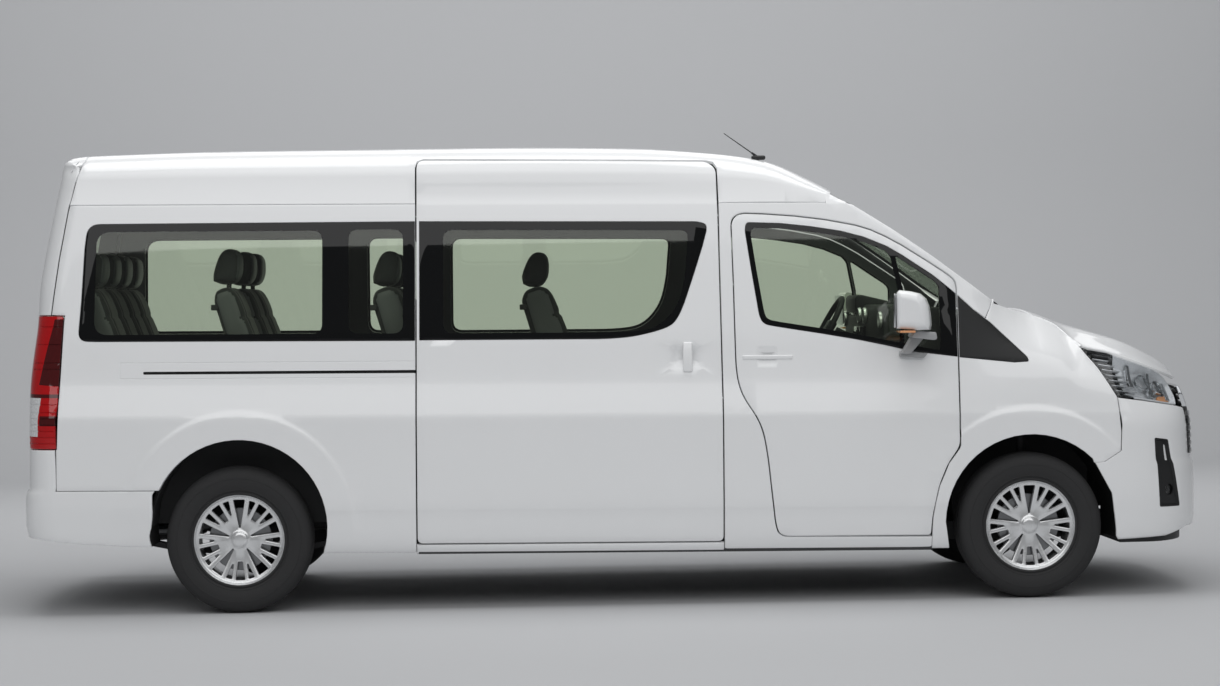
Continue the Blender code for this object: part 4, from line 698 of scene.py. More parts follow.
def clear_sheet(name, tint, ior):
    """A clear sheet: what lies behind it shows in its tint, under the sheet's reflections."""
    made = surface(name, (0.95, 0.95, 0.95), (0.01, 0.02), 0.3, 0.01, 0.0, {"Metallic": 1.0})
    tree = made.node_tree
    # both faces of the sheet meet air, so the far one reflects as weakly as the near one
    face = add(tree, "ShaderNodeNewGeometry")
    index = add(tree, "ShaderNodeMapRange", {"Value": face.outputs["Backfacing"],
                                             "To Min": ior, "To Max": 1 / ior})
    edge_on = add(tree, "ShaderNodeFresnel", {"IOR": index.outputs["Result"]})
    see_through(tree, tint, edge_on.outputs["Fac"])
    return made


def floor_paint(name, colour, rough, cell, spread):
    """Matt paint that hides nothing from behind or below."""
    made = surface(name, colour, rough, cell, spread)
    face = add(made.node_tree, "ShaderNodeNewGeometry")
    see_through(made.node_tree, (1, 1, 1), face.outputs["Backfacing"], True)
    return made


def see_through(tree, tint, share, behind=False):
    """Mix in a clear shader: share is the surface's part, or the clear one's if behind."""
    solid = next(node for node in tree.nodes if node.type == "BSDF_PRINCIPLED")
    end = next(node for node in tree.nodes if node.type == "OUTPUT_MATERIAL")
    clear = add(tree, "ShaderNodeBsdfTransparent", {"Color": (*tint, 1)})
    first, second = (solid, clear) if behind else (clear, solid)
    both = add(tree, "ShaderNodeMixShader", {0: share, 1: first.outputs["BSDF"],
                                             2: second.outputs["BSDF"]})
    tree.links.new(both.outputs["Shader"], end.inputs["Surface"])


ACRYLIC = {"IOR": 1.49, "Coat Weight": 0.6, "Coat Roughness": 0.02}
# finish: how it is made, material, colour (a code, or a name in van_colours), then what the
# maker takes: roughness, cell, spread, bump and constants, or a clear sheet's index
FINISHES = {
    # solid white enamel under clear lacquer: sharp reflections over an even white
    "white": (surface, "white enamel", "paint", (0.28, 0.34), 0.35, 0.008, 0.0,
              {"Coat Weight": 0.8, "Coat Roughness": 0.04, "IOR": 1.5}),
    # moulded lining with a fine pebbled grain
    "lining": (surface, "grey polypropylene", "#505254", (0.6, 0.75), 0.0015, 0.05, 0.0001),
    # panel edges, folds and inner faces, in shadow, with a thin black sealer; the same near black
    # is painted shade in the sliding rail's slot and on the sheet behind the grilles
    "seam": (surface, "seam sealer", "#1C1D1E", (0.5, 0.7), 0.004, 0.1),
    # black enamel fired on the inner face of the glass, under the pane's sharp reflections
    "band": (surface, "fired black enamel on glass", "#101112", (0.006, 0.012), 0.2, 0.05, 0.0,
             {"IOR": 1.42}),
    # side glass tinted green: the cabin and the windows opposite show through it
    "glass": (clear_sheet, "green float glass", "glass", 1.52),
    # laminated windscreen: almost clear, with a slight green cast
    "screen": (clear_sheet, "laminated glass", "#EAF1E8", 1.52),
    # hard-coated lens: clear, with sharp reflections
    "lens": (clear_sheet, "clear polycarbonate", "#FAFBFC", 1.46),
    # red acrylic with a moulded optic behind a smooth face
    "red": (surface, "red acrylic", "#B50A10", (0.04, 0.07), 0.012, 0.06, 0.0,
            {**ACRYLIC, "Subsurface Weight": 0.15, "Subsurface Radius": (0.01, 0.002, 0.002)}),
    # deeper acrylic over the unlit part of the tail lamp
    "dark red": (surface, "dark red acrylic", "#4A0A0C", (0.04, 0.07), 0.012, 0.1, 0.0, ACRYLIC),
    # amber acrylic over the turn signal
    "amber": (surface, "amber acrylic", "#E0A070", (0.05, 0.1), 0.01, 0.05, 0.0, {"IOR": 1.49}),
    # aluminium vapour on a moulded reflector: a bright mirror
    "mirror": (surface, "vapour-coated reflector", "#D5D7D8", (0.08, 0.16), 0.02, 0.04, 0.0,
               {"Metallic": 1.0}),
    # aluminium vapour over a finely fluted bowl, with broken reflections; its brightness is
    # painted reflection, a near-white colour that is mostly diffuse
    "reflector": (surface, "fluted reflector", "#ECEDEE", (0.18, 0.36), 0.006, 0.12, 0.0008,
                  {"Metallic": 0.25}, (3.0, 3.0, 0.6)),
    # dark chrome plating on ABS
    "chrome": (surface, "dark chrome plating", "#8A8C8F", (0.08, 0.14), 0.05, 0.03, 0.0,
               {"Metallic": 1.0}),
    # moulded black ABS with a fine spark-eroded grain
    "black": (surface, "grained black ABS", "#1B1C1D", (0.42, 0.55), 0.0012, 0.08, 0.00005),
    # polished black acrylic of the headlamp's and the grille's dark parts
    "gloss": (surface, "polished black acrylic", "#141516", (0.06, 0.12), 0.1, 0.05, 0.0,
              {"IOR": 1.49, "Coat Weight": 0.5, "Coat Roughness": 0.03}),
    # light grey moulded plastic of the mirror's bracket
    "grey": (surface, "light grey ABS", "#A7A8A9", (0.3, 0.4), 0.002, 0.04, 0.00003),
    # soft-touch moulding of the dashboard, with leather-like grain
    "trim": (surface, "soft-touch black moulding", "#232426", (0.55, 0.7), 0.002, 0.08, 0.00012),
    # knitted seat cover: matt, with threads about 1 mm apart
    "fabric": (surface, "knitted polyester", "seats", (0.8, 0.95), 0.0011, 0.22, 0.00018,
               {"Sheen Weight": 0.25, "Sheen Roughness": 0.4}),
    # seat cover on the pads' sides and the headrests' fronts, a lighter grey than the fabric:
    # painted light on the lit sides of the seats; smooth with a faint sheen
    "vinyl": (surface, "grey vinyl", "#55575A", (0.45, 0.6), 0.003, 0.08, 0.0001),
    # carbon-black rubber: dark grey, matt, slightly chalky on the side wall
    "rubber": (surface, "tyre rubber", "#2B2B2C", (0.7, 0.85), 0.003, 0.12, 0.00015),
    # silver lacquer over cast aluminium: fine metal flake under a clear coat
    "silver": (surface, "silver lacquer", "#E6E7E8", (0.22, 0.32), 0.0008, 0.05, 0.0,
               {"Metallic": 0.70, "Coat Weight": 0.6, "Coat Roughness": 0.05}),
    # cast iron and forged steel under black chassis paint, dusty
    "iron": (surface, "painted cast iron", "#3A3A3B", (0.55, 0.75), 0.006, 0.15, 0.0003,
             {"Metallic": 0.3}),
    # turned steel of the brake disc: bright, with fine rings
    "steel": (surface, "turned steel", "#8D8E90", (0.25, 0.4), 0.002, 0.1, 0.0,
              {"Metallic": 1.0}),
    # pressed felt and black plastic of the wheel arches: very dark and matt
    "arch": (surface, "arch lining", "#121212", (0.85, 0.95), 0.004, 0.2, 0.0003),
    # rubbery underbody coating, sprayed: dark grey with a coarse orange-peel
    "underseal": (surface, "sprayed underseal", "#3C3D3E", (0.7, 0.85), 0.006, 0.12, 0.0004),
    # blank glass of the dials and the screen
    "display": (surface, "display glass", "#0C0D0F", (0.05, 0.08), 0.1, 0.05, 0.0,
                {"IOR": 1.5}),
    # reflective sheet of the blank number plates
    "plate": (surface, "blank plate sheet", "#D9DADB", (0.35, 0.45), 0.001, 0.02),
    # smooth matt floor and backdrop, pale grey
    "floor": (floor_paint, "matt studio floor", "backdrop", (0.75, 0.85), 0.8, 0.01),
}
MADE = {}


def finish_of(name):
    """The named finish, made once."""
    if name not in MADE:
        maker, material, colour, *rest = FINISHES[name]
        if colour.startswith("#"):
            colour = linear(colour)
        else:
            colour = tuple(getattr(bpy.context.scene.van_colours, colour))
        MADE[name] = maker(material, colour, *rest)
    return MADE[name]


# ------------------------------------------------- outlines seen from the side
FRONT_DOOR = [
    (0.583, 1.867, 0.02), (0.600, 1.900, 0.03), (0.640, 1.914, 0.02), (0.745, 1.910),
    (0.894, 1.899), (1.043, 1.881), (1.193, 1.853), (1.268, 1.830), (1.342, 1.796),
    (1.417, 1.755), (1.492, 1.708), (1.567, 1.661), (1.641, 1.612), (1.679, 1.582, 0.02),
    (1.688, 1.545, 0.01), (1.690, 1.263), (1.690, 0.770, 0.03), (1.632, 0.687, 0.03),
    (1.586, 0.577, 0.04), (1.556, 0.429, 0.04), (1.550, 0.333, 0.02), (0.836, 0.333, 0.03),
    (0.801, 0.350, 0.02), (0.787, 0.400, 0.03), (0.770, 0.544, 0.05), (0.751, 0.719, 0.05),
    (0.730, 0.841, 0.05), (0.698, 0.919, 0.05), (0.638, 1.007, 0.05), (0.611, 1.077, 0.04),
    (0.599, 1.160, 0.04), (0.595, 1.336, 0.05), (0.591, 1.572),
]
SLIDING_DOOR = [
    (-0.957, 2.184, 0.045), (0.466, 2.174, 0.02), (0.514, 2.140, 0.03), (0.520, 1.926),
    (0.533, 1.000), (0.536, 0.311, 0.03), (-0.957, 0.311, 0.03),
]
FRONT_GLASS = [
    (0.650, 1.834, 0.02), (0.658, 1.868, 0.015), (0.822, 1.863), (0.972, 1.847),
    (1.121, 1.824), (1.234, 1.794), (1.346, 1.748), (1.421, 1.704), (1.496, 1.654),
    (1.571, 1.605), (1.646, 1.545), (1.682, 1.514), (1.684, 1.207), (1.457, 1.235),
    (1.344, 1.262), (1.195, 1.293), (1.015, 1.324), (0.820, 1.355, 0.03), (0.737, 1.370, 0.03),
    (0.716, 1.408, 0.03), (0.679, 1.639),
]
FRONT_WINDOW = [
    (0.678, 1.815, 0.02), (0.690, 1.842, 0.015), (0.822, 1.838), (0.972, 1.822),
    (1.121, 1.799), (1.234, 1.769), (1.334, 1.728), (1.362, 1.700, 0.02), (1.398, 1.530),
    (1.402, 1.276, 0.01), (1.344, 1.287), (1.195, 1.318), (1.015, 1.349), (0.820, 1.380, 0.02),
    (0.757, 1.392, 0.03), (0.741, 1.420, 0.03), (0.704, 1.640),
]
QUARTER_LIGHT = [
    (1.386, 1.702, 0.015), (1.421, 1.679), (1.496, 1.629), (1.571, 1.580), (1.597, 1.556, 0.02),
    (1.604, 1.320), (1.600, 1.238, 0.01), (1.424, 1.268, 0.01), (1.420, 1.540),
]
SAIL = [
    (1.696, 1.504), (1.706, 1.492), (1.772, 1.432), (1.854, 1.372), (1.965, 1.266),
    (2.030, 1.202, 0.012), (2.036, 1.181, 0.008), (1.965, 1.177), (1.696, 1.204),
]
REAR_GLASS = [
    (-2.548, 1.872, 0.06), (-0.962, 1.879), (-0.962, 1.300), (-2.500, 1.303),
    (-2.590, 1.306, 0.05), (-2.575, 1.500), (-2.562, 1.750),
]
REAR_PANES = [
    [(-2.505, 1.835, 0.07), (-1.412, 1.838, 0.05), (-1.412, 1.335, 0.05), (-2.515, 1.335, 0.07)],
    [(-1.285, 1.842, 0.05), (-1.020, 1.842, 0.05), (-1.020, 1.335, 0.05), (-1.285, 1.335, 0.05)],
]
SLIDING_GLASS = [
    (-0.940, 1.879), (0.420, 1.873, 0.02), (0.463, 1.860, 0.02), (0.461, 1.825), (0.441, 1.751),
    (0.399, 1.621), (0.351, 1.480), (0.321, 1.409, 0.04), (0.285, 1.365, 0.04),
    (0.202, 1.336, 0.05), (0.084, 1.311, 0.05), (-0.043, 1.303, 0.05), (-0.940, 1.302),
]
SLIDING_PANE = [
    (-0.825, 1.838, 0.05), (0.372, 1.832, 0.04), (0.362, 1.700), (0.357, 1.621, 0.05),
    (0.325, 1.470, 0.10), (0.225, 1.355, 0.10), (0.080, 1.335, 0.10), (-0.825, 1.333, 0.05),
]
TAILGATE_EDGE = [(-2.724, 1.4320), (-2.714, 1.513), (-2.687, 1.711), (-2.648, 1.933),
                 (-2.610, 2.081), (-2.575, 2.180)]
LAMP_FRONT_EDGE = [(-2.658, 1.427), (-2.661, 1.401), (-2.684, 0.994), (-2.691, 0.785)]
LAMP_INNER_Y = 0.795
BUMPER_EDGE = [(2.461, 0.300), (2.461, 0.321), (2.435, 0.535), (2.352, 0.684), (2.400, 0.688),
               (2.483, 0.742), (2.486, 0.837), (2.476, 0.938), (2.468, 1.004)]
HEADLAMP = [
    (2.297, 1.252), (2.434, 1.222), (2.586, 1.170), (2.690, 1.133, 0.02), (2.745, 1.098, 0.02),
    (2.772, 1.060, 0.03), (2.795, 1.007, 0.02), (2.799, 0.957, 0.012), (2.700, 0.972),
    (2.596, 0.988), (2.468, 1.004, 0.01), (2.383, 1.146),
]
SILL_Z = 0.268


def arch_ring(centre_x, radius, start, end, steps=28):
    """Points round a wheel arch, from one angle to another, in degrees."""
    turns = [math.radians(start + (end - start) * k / steps) for k in range(steps + 1)]
    return [(centre_x + radius * math.cos(a), ARCH_CENTRE_Z + radius * math.sin(a))
            for a in turns]


def arch_angle(z, radius=ARCH_RADIUS):
    """Angle, in degrees, at which a wheel arch reaches this height at its front."""
    return math.degrees(math.asin((z - ARCH_CENTRE_Z) / radius))


def flare_lines(centre_x):
    """Grid lines along the raised lip of a wheel arch."""
    return [arch_ring(centre_x, radius, -8, 188)
            for radius in (0.430, 0.442, 0.470, 0.505, 0.540, 0.549, 0.558, 0.566, 0.575)]


def edge_points(points, gap=0.0):
    """The outline as vectors, rounded and moved by a gap."""
    return grown(loop(points, 0.06), gap)


def skin(outline, surface_of, hand=RIGHT, depth=0.018, rows=(), columns=(), lining=None, **shape):
    """A body panel, laid on one of the van's surfaces."""
    shape.setdefault("roll", bpy.context.scene.van_sizes.panel_roll)
    bm = flat_panel(outline, rows, columns, **shape)
    thicken(bm, depth, lining)
    return bend(bm, surface_of, hand)


def pane(outline, surface_of, clear, hand=RIGHT, rows=(), columns=()):
    """Bonded glass, black round its border; clear holds the outlines one looks through."""
    return skin(outline, surface_of, hand, 0.0055, rows, columns, roll=0.0012,
                patches=[(ring, 1) for ring in clear], lift=-0.0008)


WIDE = spread(-3.0, 3.1, 0.10)
FINE = spread(-3.0, 3.1, 0.05)
PANE_ROWS = spread(1.15, 2.05, 0.05)
BED = 0.0065          # how deep the glass beds in the body
BED_GAP = 0.0022      # the sealer's width round the glass


# --------------------------------------------------------------- painted panels
def roof_place(x, z):
    """Distance round the roof's section at which it has this height."""
    full = ROOF_JOINT_Z + (z - ROOF_JOINT_Z) / float(roof_scale(x))
    reaches = np.linspace(0.0, ROOF_GIRTH, 600)
    return float(np.interp(-full, -ROOF_Z(reaches), reaches))


class VAN_OT_roof(bpy.types.Operator):
    """Model the pressed roof with its beads, and the aerial"""
    bl_idname = "van.roof"
    bl_label = "Roof"

    def execute(self, context):
        gap = SHUT_GAP / 2
        joint = ROOF_JOINT_Z + 0.0025
        tail = [(x + gap, roof_place(x, z)) for x, z in TAILGATE_EDGE[2:] if z > joint]
        tail = [(-2.637, roof_place(-2.637, joint))] + tail
        corner = (-2.575 + gap, roof_place(-2.575, 2.184))
        left = [corner] + tail[::-1] + [(HEADER_X - 0.002, roof_place(HEADER_X, joint))]
        door = [(0.5235, joint), (0.5175, 2.140), (0.500, 2.170), (0.466, 2.178),
                (-0.920, 2.188), (-0.952, 2.175), (-0.961, 2.145), (-0.961, joint)]
        front = roof_place(HEADER_X, joint)
        right = [(HEADER_X - 0.002 + HEADER_BOW * (1 - share * share), share * front)
                 for share in np.linspace(-0.9, 1.0, 20)]
        right += [(x, roof_place(x, z)) for x, z in spaced_pairs(door, 0.08)]
        right += tail + [corner]
        outline = [Vector((corner[0], 0.02))] + vectors(left)
        outline += [Vector((x, -v)) for x, v in right]
        rows = sorted(sign * row for row in ROOF_STEPS[1:] + spread(0.05, 0.65, 0.05)
                      for sign in (-1, 1))
        beads = [(loop(oblong((-2.35, middle - 0.035), (0.25, middle + 0.035), 0.03), 0.10),
                  0.004, 0.018) for middle in (-0.50, -0.25, 0.0, 0.25, 0.50)]
        panel = skin(spaced(outline, 0.06), roof, LEFT, 0.016, rows, FINE, 1, dents=beads)
        piece("roof_skin", panel, ["white", "lining"], "roof")
        bm = bmesh.new()
        block(bm, (0.707, -0.617, 2.188), (0.777, -0.583, 2.210), 0.009, 4)
        start, end = Vector((0.735, -0.600, 2.205)), Vector((0.570, -0.600, 2.321))
        for low, high, thick, thin in ((0.0, 0.16, 0.0065, 0.0055), (0.16, 1.0, 0.0030, 0.0020)):
            rod_between(bm, start.lerp(end, low), start.lerp(end, high), thick, thin)
        piece("whip_aerial", bm, ["black"], "aerial")
        return {"FINISHED"}


def spaced_pairs(points, step):
    """An open run of points with its long edges divided."""
    result = [points[0]]
    for first, second in zip(points, points[1:]):
        parts = max(1, math.ceil(math.dist(first, second) / step))
        result += [(first[0] + (second[0] - first[0]) * k / parts,
                    first[1] + (second[1] - first[1]) * k / parts) for k in range(1, parts + 1)]
    return result


def rod_between(bm, start, end, radius, end_radius=None, sides=16):
    """A round rod or cone between two points."""
    way = end - start
    turn = way.to_track_quat("Z", "Y").to_matrix().to_4x4()
    bmesh.ops.create_cone(bm, cap_ends=True, segments=sides, radius1=radius,
                          radius2=radius if end_radius is None else end_radius,
                          depth=way.length,
                          matrix=Matrix.Translation((start + end) / 2) @ turn)


def block(bm, low, high, bevel=0.004, segments=3, turn=None):
    """A block with rounded edges between two corners."""
    verts = bmesh.ops.create_cube(bm, size=1.0)["verts"]
    size = [b - a for a, b in zip(low, high)]
    middle = [(a + b) / 2 for a, b in zip(low, high)]
    bmesh.ops.scale(bm, vec=size, verts=verts)
    edges = list({edge for vert in verts for edge in vert.link_edges})
    made = bmesh.ops.bevel(bm, geom=edges, offset=bevel, segments=segments, profile=0.5,
                           affect="EDGES", material=-1)
    corners = list({vert for face in made["faces"] for vert in face.verts})
    if turn is not None:
        bmesh.ops.rotate(bm, cent=(0, 0, 0), matrix=turn, verts=corners)
    bmesh.ops.translate(bm, vec=middle, verts=corners)
    return corners


RAIL_COVER = [(-2.387, 1.119, 0.004), (-0.9625, 1.119), (-0.9625, 1.203), (-2.387, 1.201, 0.004)]
RAIL_SLOT = [(-2.273, 1.1425, 0.004), (-0.9600, 1.1425), (-0.9600, 1.1575),
             (-2.273, 1.1560, 0.004)]


def quarter_outline(front):
    """Outline of a body side behind its front edge, up to the tailgate and the tail lamp."""
    gap = SHUT_GAP / 2
    joint = ROOF_JOINT_Z - 0.0005
    rear_ring = arch_ring(REAR_ARCH_X, ARCH_RADIUS, -18, 180 - arch_angle(0.583))
    points = front + [(front[-1][0], SILL_Z), (REAR_ARCH_X + 0.404, SILL_Z)]
    points += rear_ring + [(-2.692, 0.583), (-2.692, 0.785 - gap)]
    points = [p for p in points if p[1] >= SILL_Z - 1e-6]
    points += [(x + gap, z) for x, z in LAMP_FRONT_EDGE[::-1]]
    points += [(-2.655, 1.4305), (-2.721, 1.4325)]
    points += [(x + gap, z) for x, z in TAILGATE_EDGE[1:4]] + [(-2.637, joint)]
    return spaced(vectors(points), 0.06)


class VAN_OT_sides(bpy.types.Operator):
    """Model the rear quarter with its sliding rail, the left side, and their glass"""
    bl_idname = "van.sides"
    bl_label = "Body sides"

    def execute(self, context):
        joint = ROOF_JOINT_Z - 0.0005
        rows = side_rows()
        lines = flare_lines(REAR_ARCH_X)
        columns = WIDE + [-2.62, -2.64, -2.66, -2.68]
        glass = edge_points(REAR_GLASS)
        panes = [edge_points(ring) for ring in REAR_PANES]
        bed = (grown(glass, BED_GAP), BED, 0.0012)
        holes = [grown(ring, 0.012) for ring in panes]
        cover = loop(RAIL_COVER, 0.1)
        rail = [(cover, 0.0016, 0.0012), (grown(cover, -0.0045), -0.0016, 0.0012),
                (loop(RAIL_SLOT, 0.1), 0.013, 0.0015)]
        # the sliding rail's slot is painted near black: painted shade in the recess
        panel = skin(quarter_outline([(-0.9605, joint)]), side, RIGHT, 0.046, rows, columns, 1,
                     holes=holes, dents=[bed] + rail, lines=lines, patches=[(rail[2][0], 2)])
        piece("rear_quarter_skin", panel, ["white", "lining", "seam"],
              "quarter_right")
        pair("rear_side_pane", pane(glass, side, panes, RIGHT, PANE_ROWS, WIDE),
             ["band", "glass"], "quarter_glass")
        glass, clear = edge_points(SLIDING_GLASS), edge_points(SLIDING_PANE)
        panel = skin(quarter_outline([(0.5215, joint), (0.5365, 1.0)]), side, LEFT, 0.046, rows,
                     columns, 1, holes=holes + [grown(clear, 0.012)],
                     dents=[bed, (grown(glass, BED_GAP), BED, 0.0012)], lines=lines)
        piece("left_side_skin", panel, ["white", "lining"], "side_left")
        piece("left_middle_pane", pane(glass, side, [clear], LEFT, PANE_ROWS, WIDE),
              ["band", "glass"], "side_glass_left")
        return {"FINISHED"}


class VAN_OT_sliding_door(bpy.types.Operator):
    """Model the sliding door with its glass and handle"""
    bl_idname = "van.sliding_door"
    bl_label = "Sliding door"

    def execute(self, context):
        glass, clear = edge_points(SLIDING_GLASS), edge_points(SLIDING_PANE)
        cup = loop(oblong((0.261, 1.142), (0.450, 1.281), 0.05), 0.02)
        panel = skin(edge_points(SLIDING_DOOR, -SHUT_GAP / 2), side, RIGHT, 0.046, side_rows(),
                     WIDE, 1, holes=[grown(clear, 0.012)],
                     dents=[(grown(glass, BED_GAP), BED, 0.0012), (cup, 0.019, 0.055)])
        piece("sliding_door_skin", panel, ["white", "lining"], "sliding_door")
        piece("sliding_door_pane", pane(glass, side, [clear], RIGHT, PANE_ROWS, WIDE),
              ["band", "glass"], "sliding_door_glass")
        bm = bmesh.new()
        block(bm, (0.340, -0.944, 1.138), (0.386, -0.926, 1.285), 0.008, 4)
        bmesh.ops.rotate(bm, cent=(0.363, -0.935, 1.21), matrix=Matrix.Rotation(-0.085, 3, "X"),
                         verts=bm.verts)
        piece("sliding_door_handle", bm, ["white"])
        return {"FINISHED"}


class VAN_OT_front_frames(bpy.types.Operator):
    """Model the B-pillars, the rails over the front doors and the windscreen pillars"""
    bl_idname = "van.front_frames"
    bl_label = "Door frames and pillars"

    def execute(self, context):
        pillar = spaced_pairs(PILLAR_LINE, 0.05)
        door = edge_points(FRONT_DOOR, SHUT_GAP / 2)
        start, end = [min(range(len(door)), key=lambda k: (door[k] - spot).length)
                      for spot in (Vector((0.836, 0.330)), Vector((1.693, 1.500)))]
        run = (door[start:] + door[:start])[:(end - start) % len(door) + 1]
        outline = [(1.5535, 0.3265), (1.5535, SILL_Z), (0.5395, SILL_Z), (0.5365, 1.0),
                   (0.5240, 1.930), (0.5235, ROOF_JOINT_Z - 0.0005),
                   (HEADER_X, ROOF_JOINT_Z - 0.0005), (HEADER_X, 2.032)] + pillar[1:]
        outline += [(1.8300, 1.395), (1.772, 1.4345), (1.706, 1.4945), (1.694, 1.506)]
        panel = skin(spaced(vectors(outline), 0.06) + run[::-1], side, RIGHT, 0.046,
                     side_rows(), FINE, 1, falls=[(pillar, 0.018)])
        pair("door_frame", panel, ["white", "lining"], "front_frame")
        return {"FINISHED"}


class VAN_OT_front_doors(bpy.types.Operator):
    """Model the hinged front doors with their glass and handles"""
    bl_idname = "van.front_doors"
    bl_label = "Front doors"

    def execute(self, context):
        glass = edge_points(FRONT_GLASS)
        panes = [edge_points(FRONT_WINDOW), edge_points(QUARTER_LIGHT)]
        cup = edge_points(oblong((0.700, 1.170), (0.806, 1.258), 0.035))
        panel = skin(edge_points(FRONT_DOOR, -SHUT_GAP / 2), side, RIGHT, 0.046, side_rows(),
                     WIDE, 1, holes=[grown(ring, 0.010) for ring in panes],
                     dents=[(grown(glass, BED_GAP), BED, 0.0012), (cup, 0.016, 0.035)])
        pair("front_door_skin", panel, ["white", "lining"], "door", "front_door")
        pair("front_door_pane", pane(glass, side, panes, RIGHT, PANE_ROWS, WIDE),
             ["band", "glass"], "door_glass", "front_door")
        bm = bmesh.new()
        block(bm, (0.628, -0.952, 1.190), (0.878, -0.938, 1.227), 0.0068, 4)
        for vert in bm.verts:
            share = abs(vert.co.x - 0.753) / 0.125
            vert.co.z = 1.2085 + (vert.co.z - 1.2085) * (1.0 - 0.45 * share ** 2)
            vert.co.y += 0.016 * share ** 2.5
        pair("front_door_handle", bm, ["white"], None, "front_door")
        return {"FINISHED"}


class VAN_OT_fenders(bpy.types.Operator):
    """Model the front fenders and the black triangles behind the doors"""
    bl_idname = "van.fenders"
    bl_label = "Front fenders"

    def execute(self, context):
        gap = SHUT_GAP / 2
        ring = arch_ring(FRONT_ARCH_X, ARCH_RADIUS, -18, 180)[::-1]
        ring = [p for p in ring if p[1] > SILL_Z and (p[0] < 2.30 or p[1] > 0.686)]
        front = [(x - 0.002, z) for x, z in BUMPER_EDGE[3:]]
        lamp = [(2.381, 1.146), (2.294, 1.253)]
        top = [(2.285, float(BONNET_EDGE(2.285)) - 0.004)]
        top += [(x, float(BONNET_EDGE(x)) - gap) for x in (2.240, 2.200, 2.140)]
        top += [(2.085, 1.411), (1.980, 1.437), (1.882, 1.466), (1.881, 1.488)]
        sail_edge = [(1.8340, 1.3930), (1.772, 1.4315), (1.706, 1.4915), (1.694, 1.503)]
        door = [(1.6935, 1.263), (1.6935, 0.774), (1.688, 0.757), (1.636, 0.687), (1.606, 0.615),
                (1.589, 0.577), (1.571, 0.500), (1.559, 0.429), (1.556, 0.380), (1.5545, 0.290),
                (1.5545, SILL_Z), (FRONT_ARCH_X - 0.404, SILL_Z)]
        outline = spaced(vectors(door + ring + front + lamp + top + sail_edge), 0.05)
        sail = loop(SAIL)
        panel = skin(outline, side, RIGHT, 0.014, side_rows(), WIDE + spread(1.75, 2.48, 0.03),
                     1, lines=flare_lines(FRONT_ARCH_X),
                     dents=[(grown(sail, BED_GAP), 0.006, 0.0012)])
        pair("front_fender_skin", panel, ["white", "seam"], "fender")
        panel = skin(sail, side, RIGHT, 0.006, spread(1.15, 1.55, 0.03),
                     spread(1.65, 2.05, 0.03), roll=0.0015)
        pair("corner_triangle", panel, ["black"])
        return {"FINISHED"}


# ------------------------------------------------------------------ nose and tail
NOSE_ROWS = [0.290, 0.320, 0.345, 0.400, 0.450, 0.500, 0.560, 0.620, 0.672, 0.686, 0.700, 0.740,
             0.780, 0.820, 0.860, 0.900, 0.928, 0.946, 0.985, 1.010, 1.040, 1.070]
GRILLE_Z = (0.715, 0.918)
LOWER_Z = (0.385, 0.520)


def on_nose(points):
    """Outline points (station, height) as (distance round the nose, height)."""
    return [(nose_place(p[0], p[1]), *p[1:]) for p in points]


def on_rear(points):
    """Outline points (station, height) as (distance round the rear, height)."""
    return [(rear_place(p[0], p[1]), *p[1:]) for p in points]


def both(points):
    """A half outline, from the top's middle down, closed with its mirror image."""
    return vectors(points) + [Vector((-p[0], p[1])) for p in points[::-1]]


class VAN_OT_bonnet(bpy.types.Operator):
    """Model the bonnet with its creases"""
    bl_idname = "van.bonnet"
    bl_label = "Bonnet"

    def execute(self, context):
        outline = spaced(vectors([(2.094, -0.992), (2.140, -0.9945), (2.892, -0.985),
                                  (2.892, 0.985), (2.140, 0.9945), (2.094, 0.992)]), 0.035)

        def shape(u, v):
            return bonnet(u, v * BONNET_REACH(u))

        rows = spread(-0.96, 0.96, 0.06) + [-0.985, 0.985, -0.975, 0.975]
        panel = skin(outline, shape, LEFT, 0.014, sorted(rows), spread(2.08, 2.90, 0.03), 1,
                     falls=[(outline[1:-1], 0.010)])
        piece("bonnet_skin", panel, ["white", "lining"], "bonnet", "bonnet_lid")
        return {"FINISHED"}


def slats(bm, heights, half, turn, reach_at, step, depth, sink):
    """Bars across the nose at these heights; reach_at gives a bar's half length."""
    for z in heights:
        reach = reach_at(z)
        bar = loop(oblong((-reach, z - half), (reach, z + half), turn), step)
        add_mesh(bm, bent_panel(bar, nose, depth, sink))


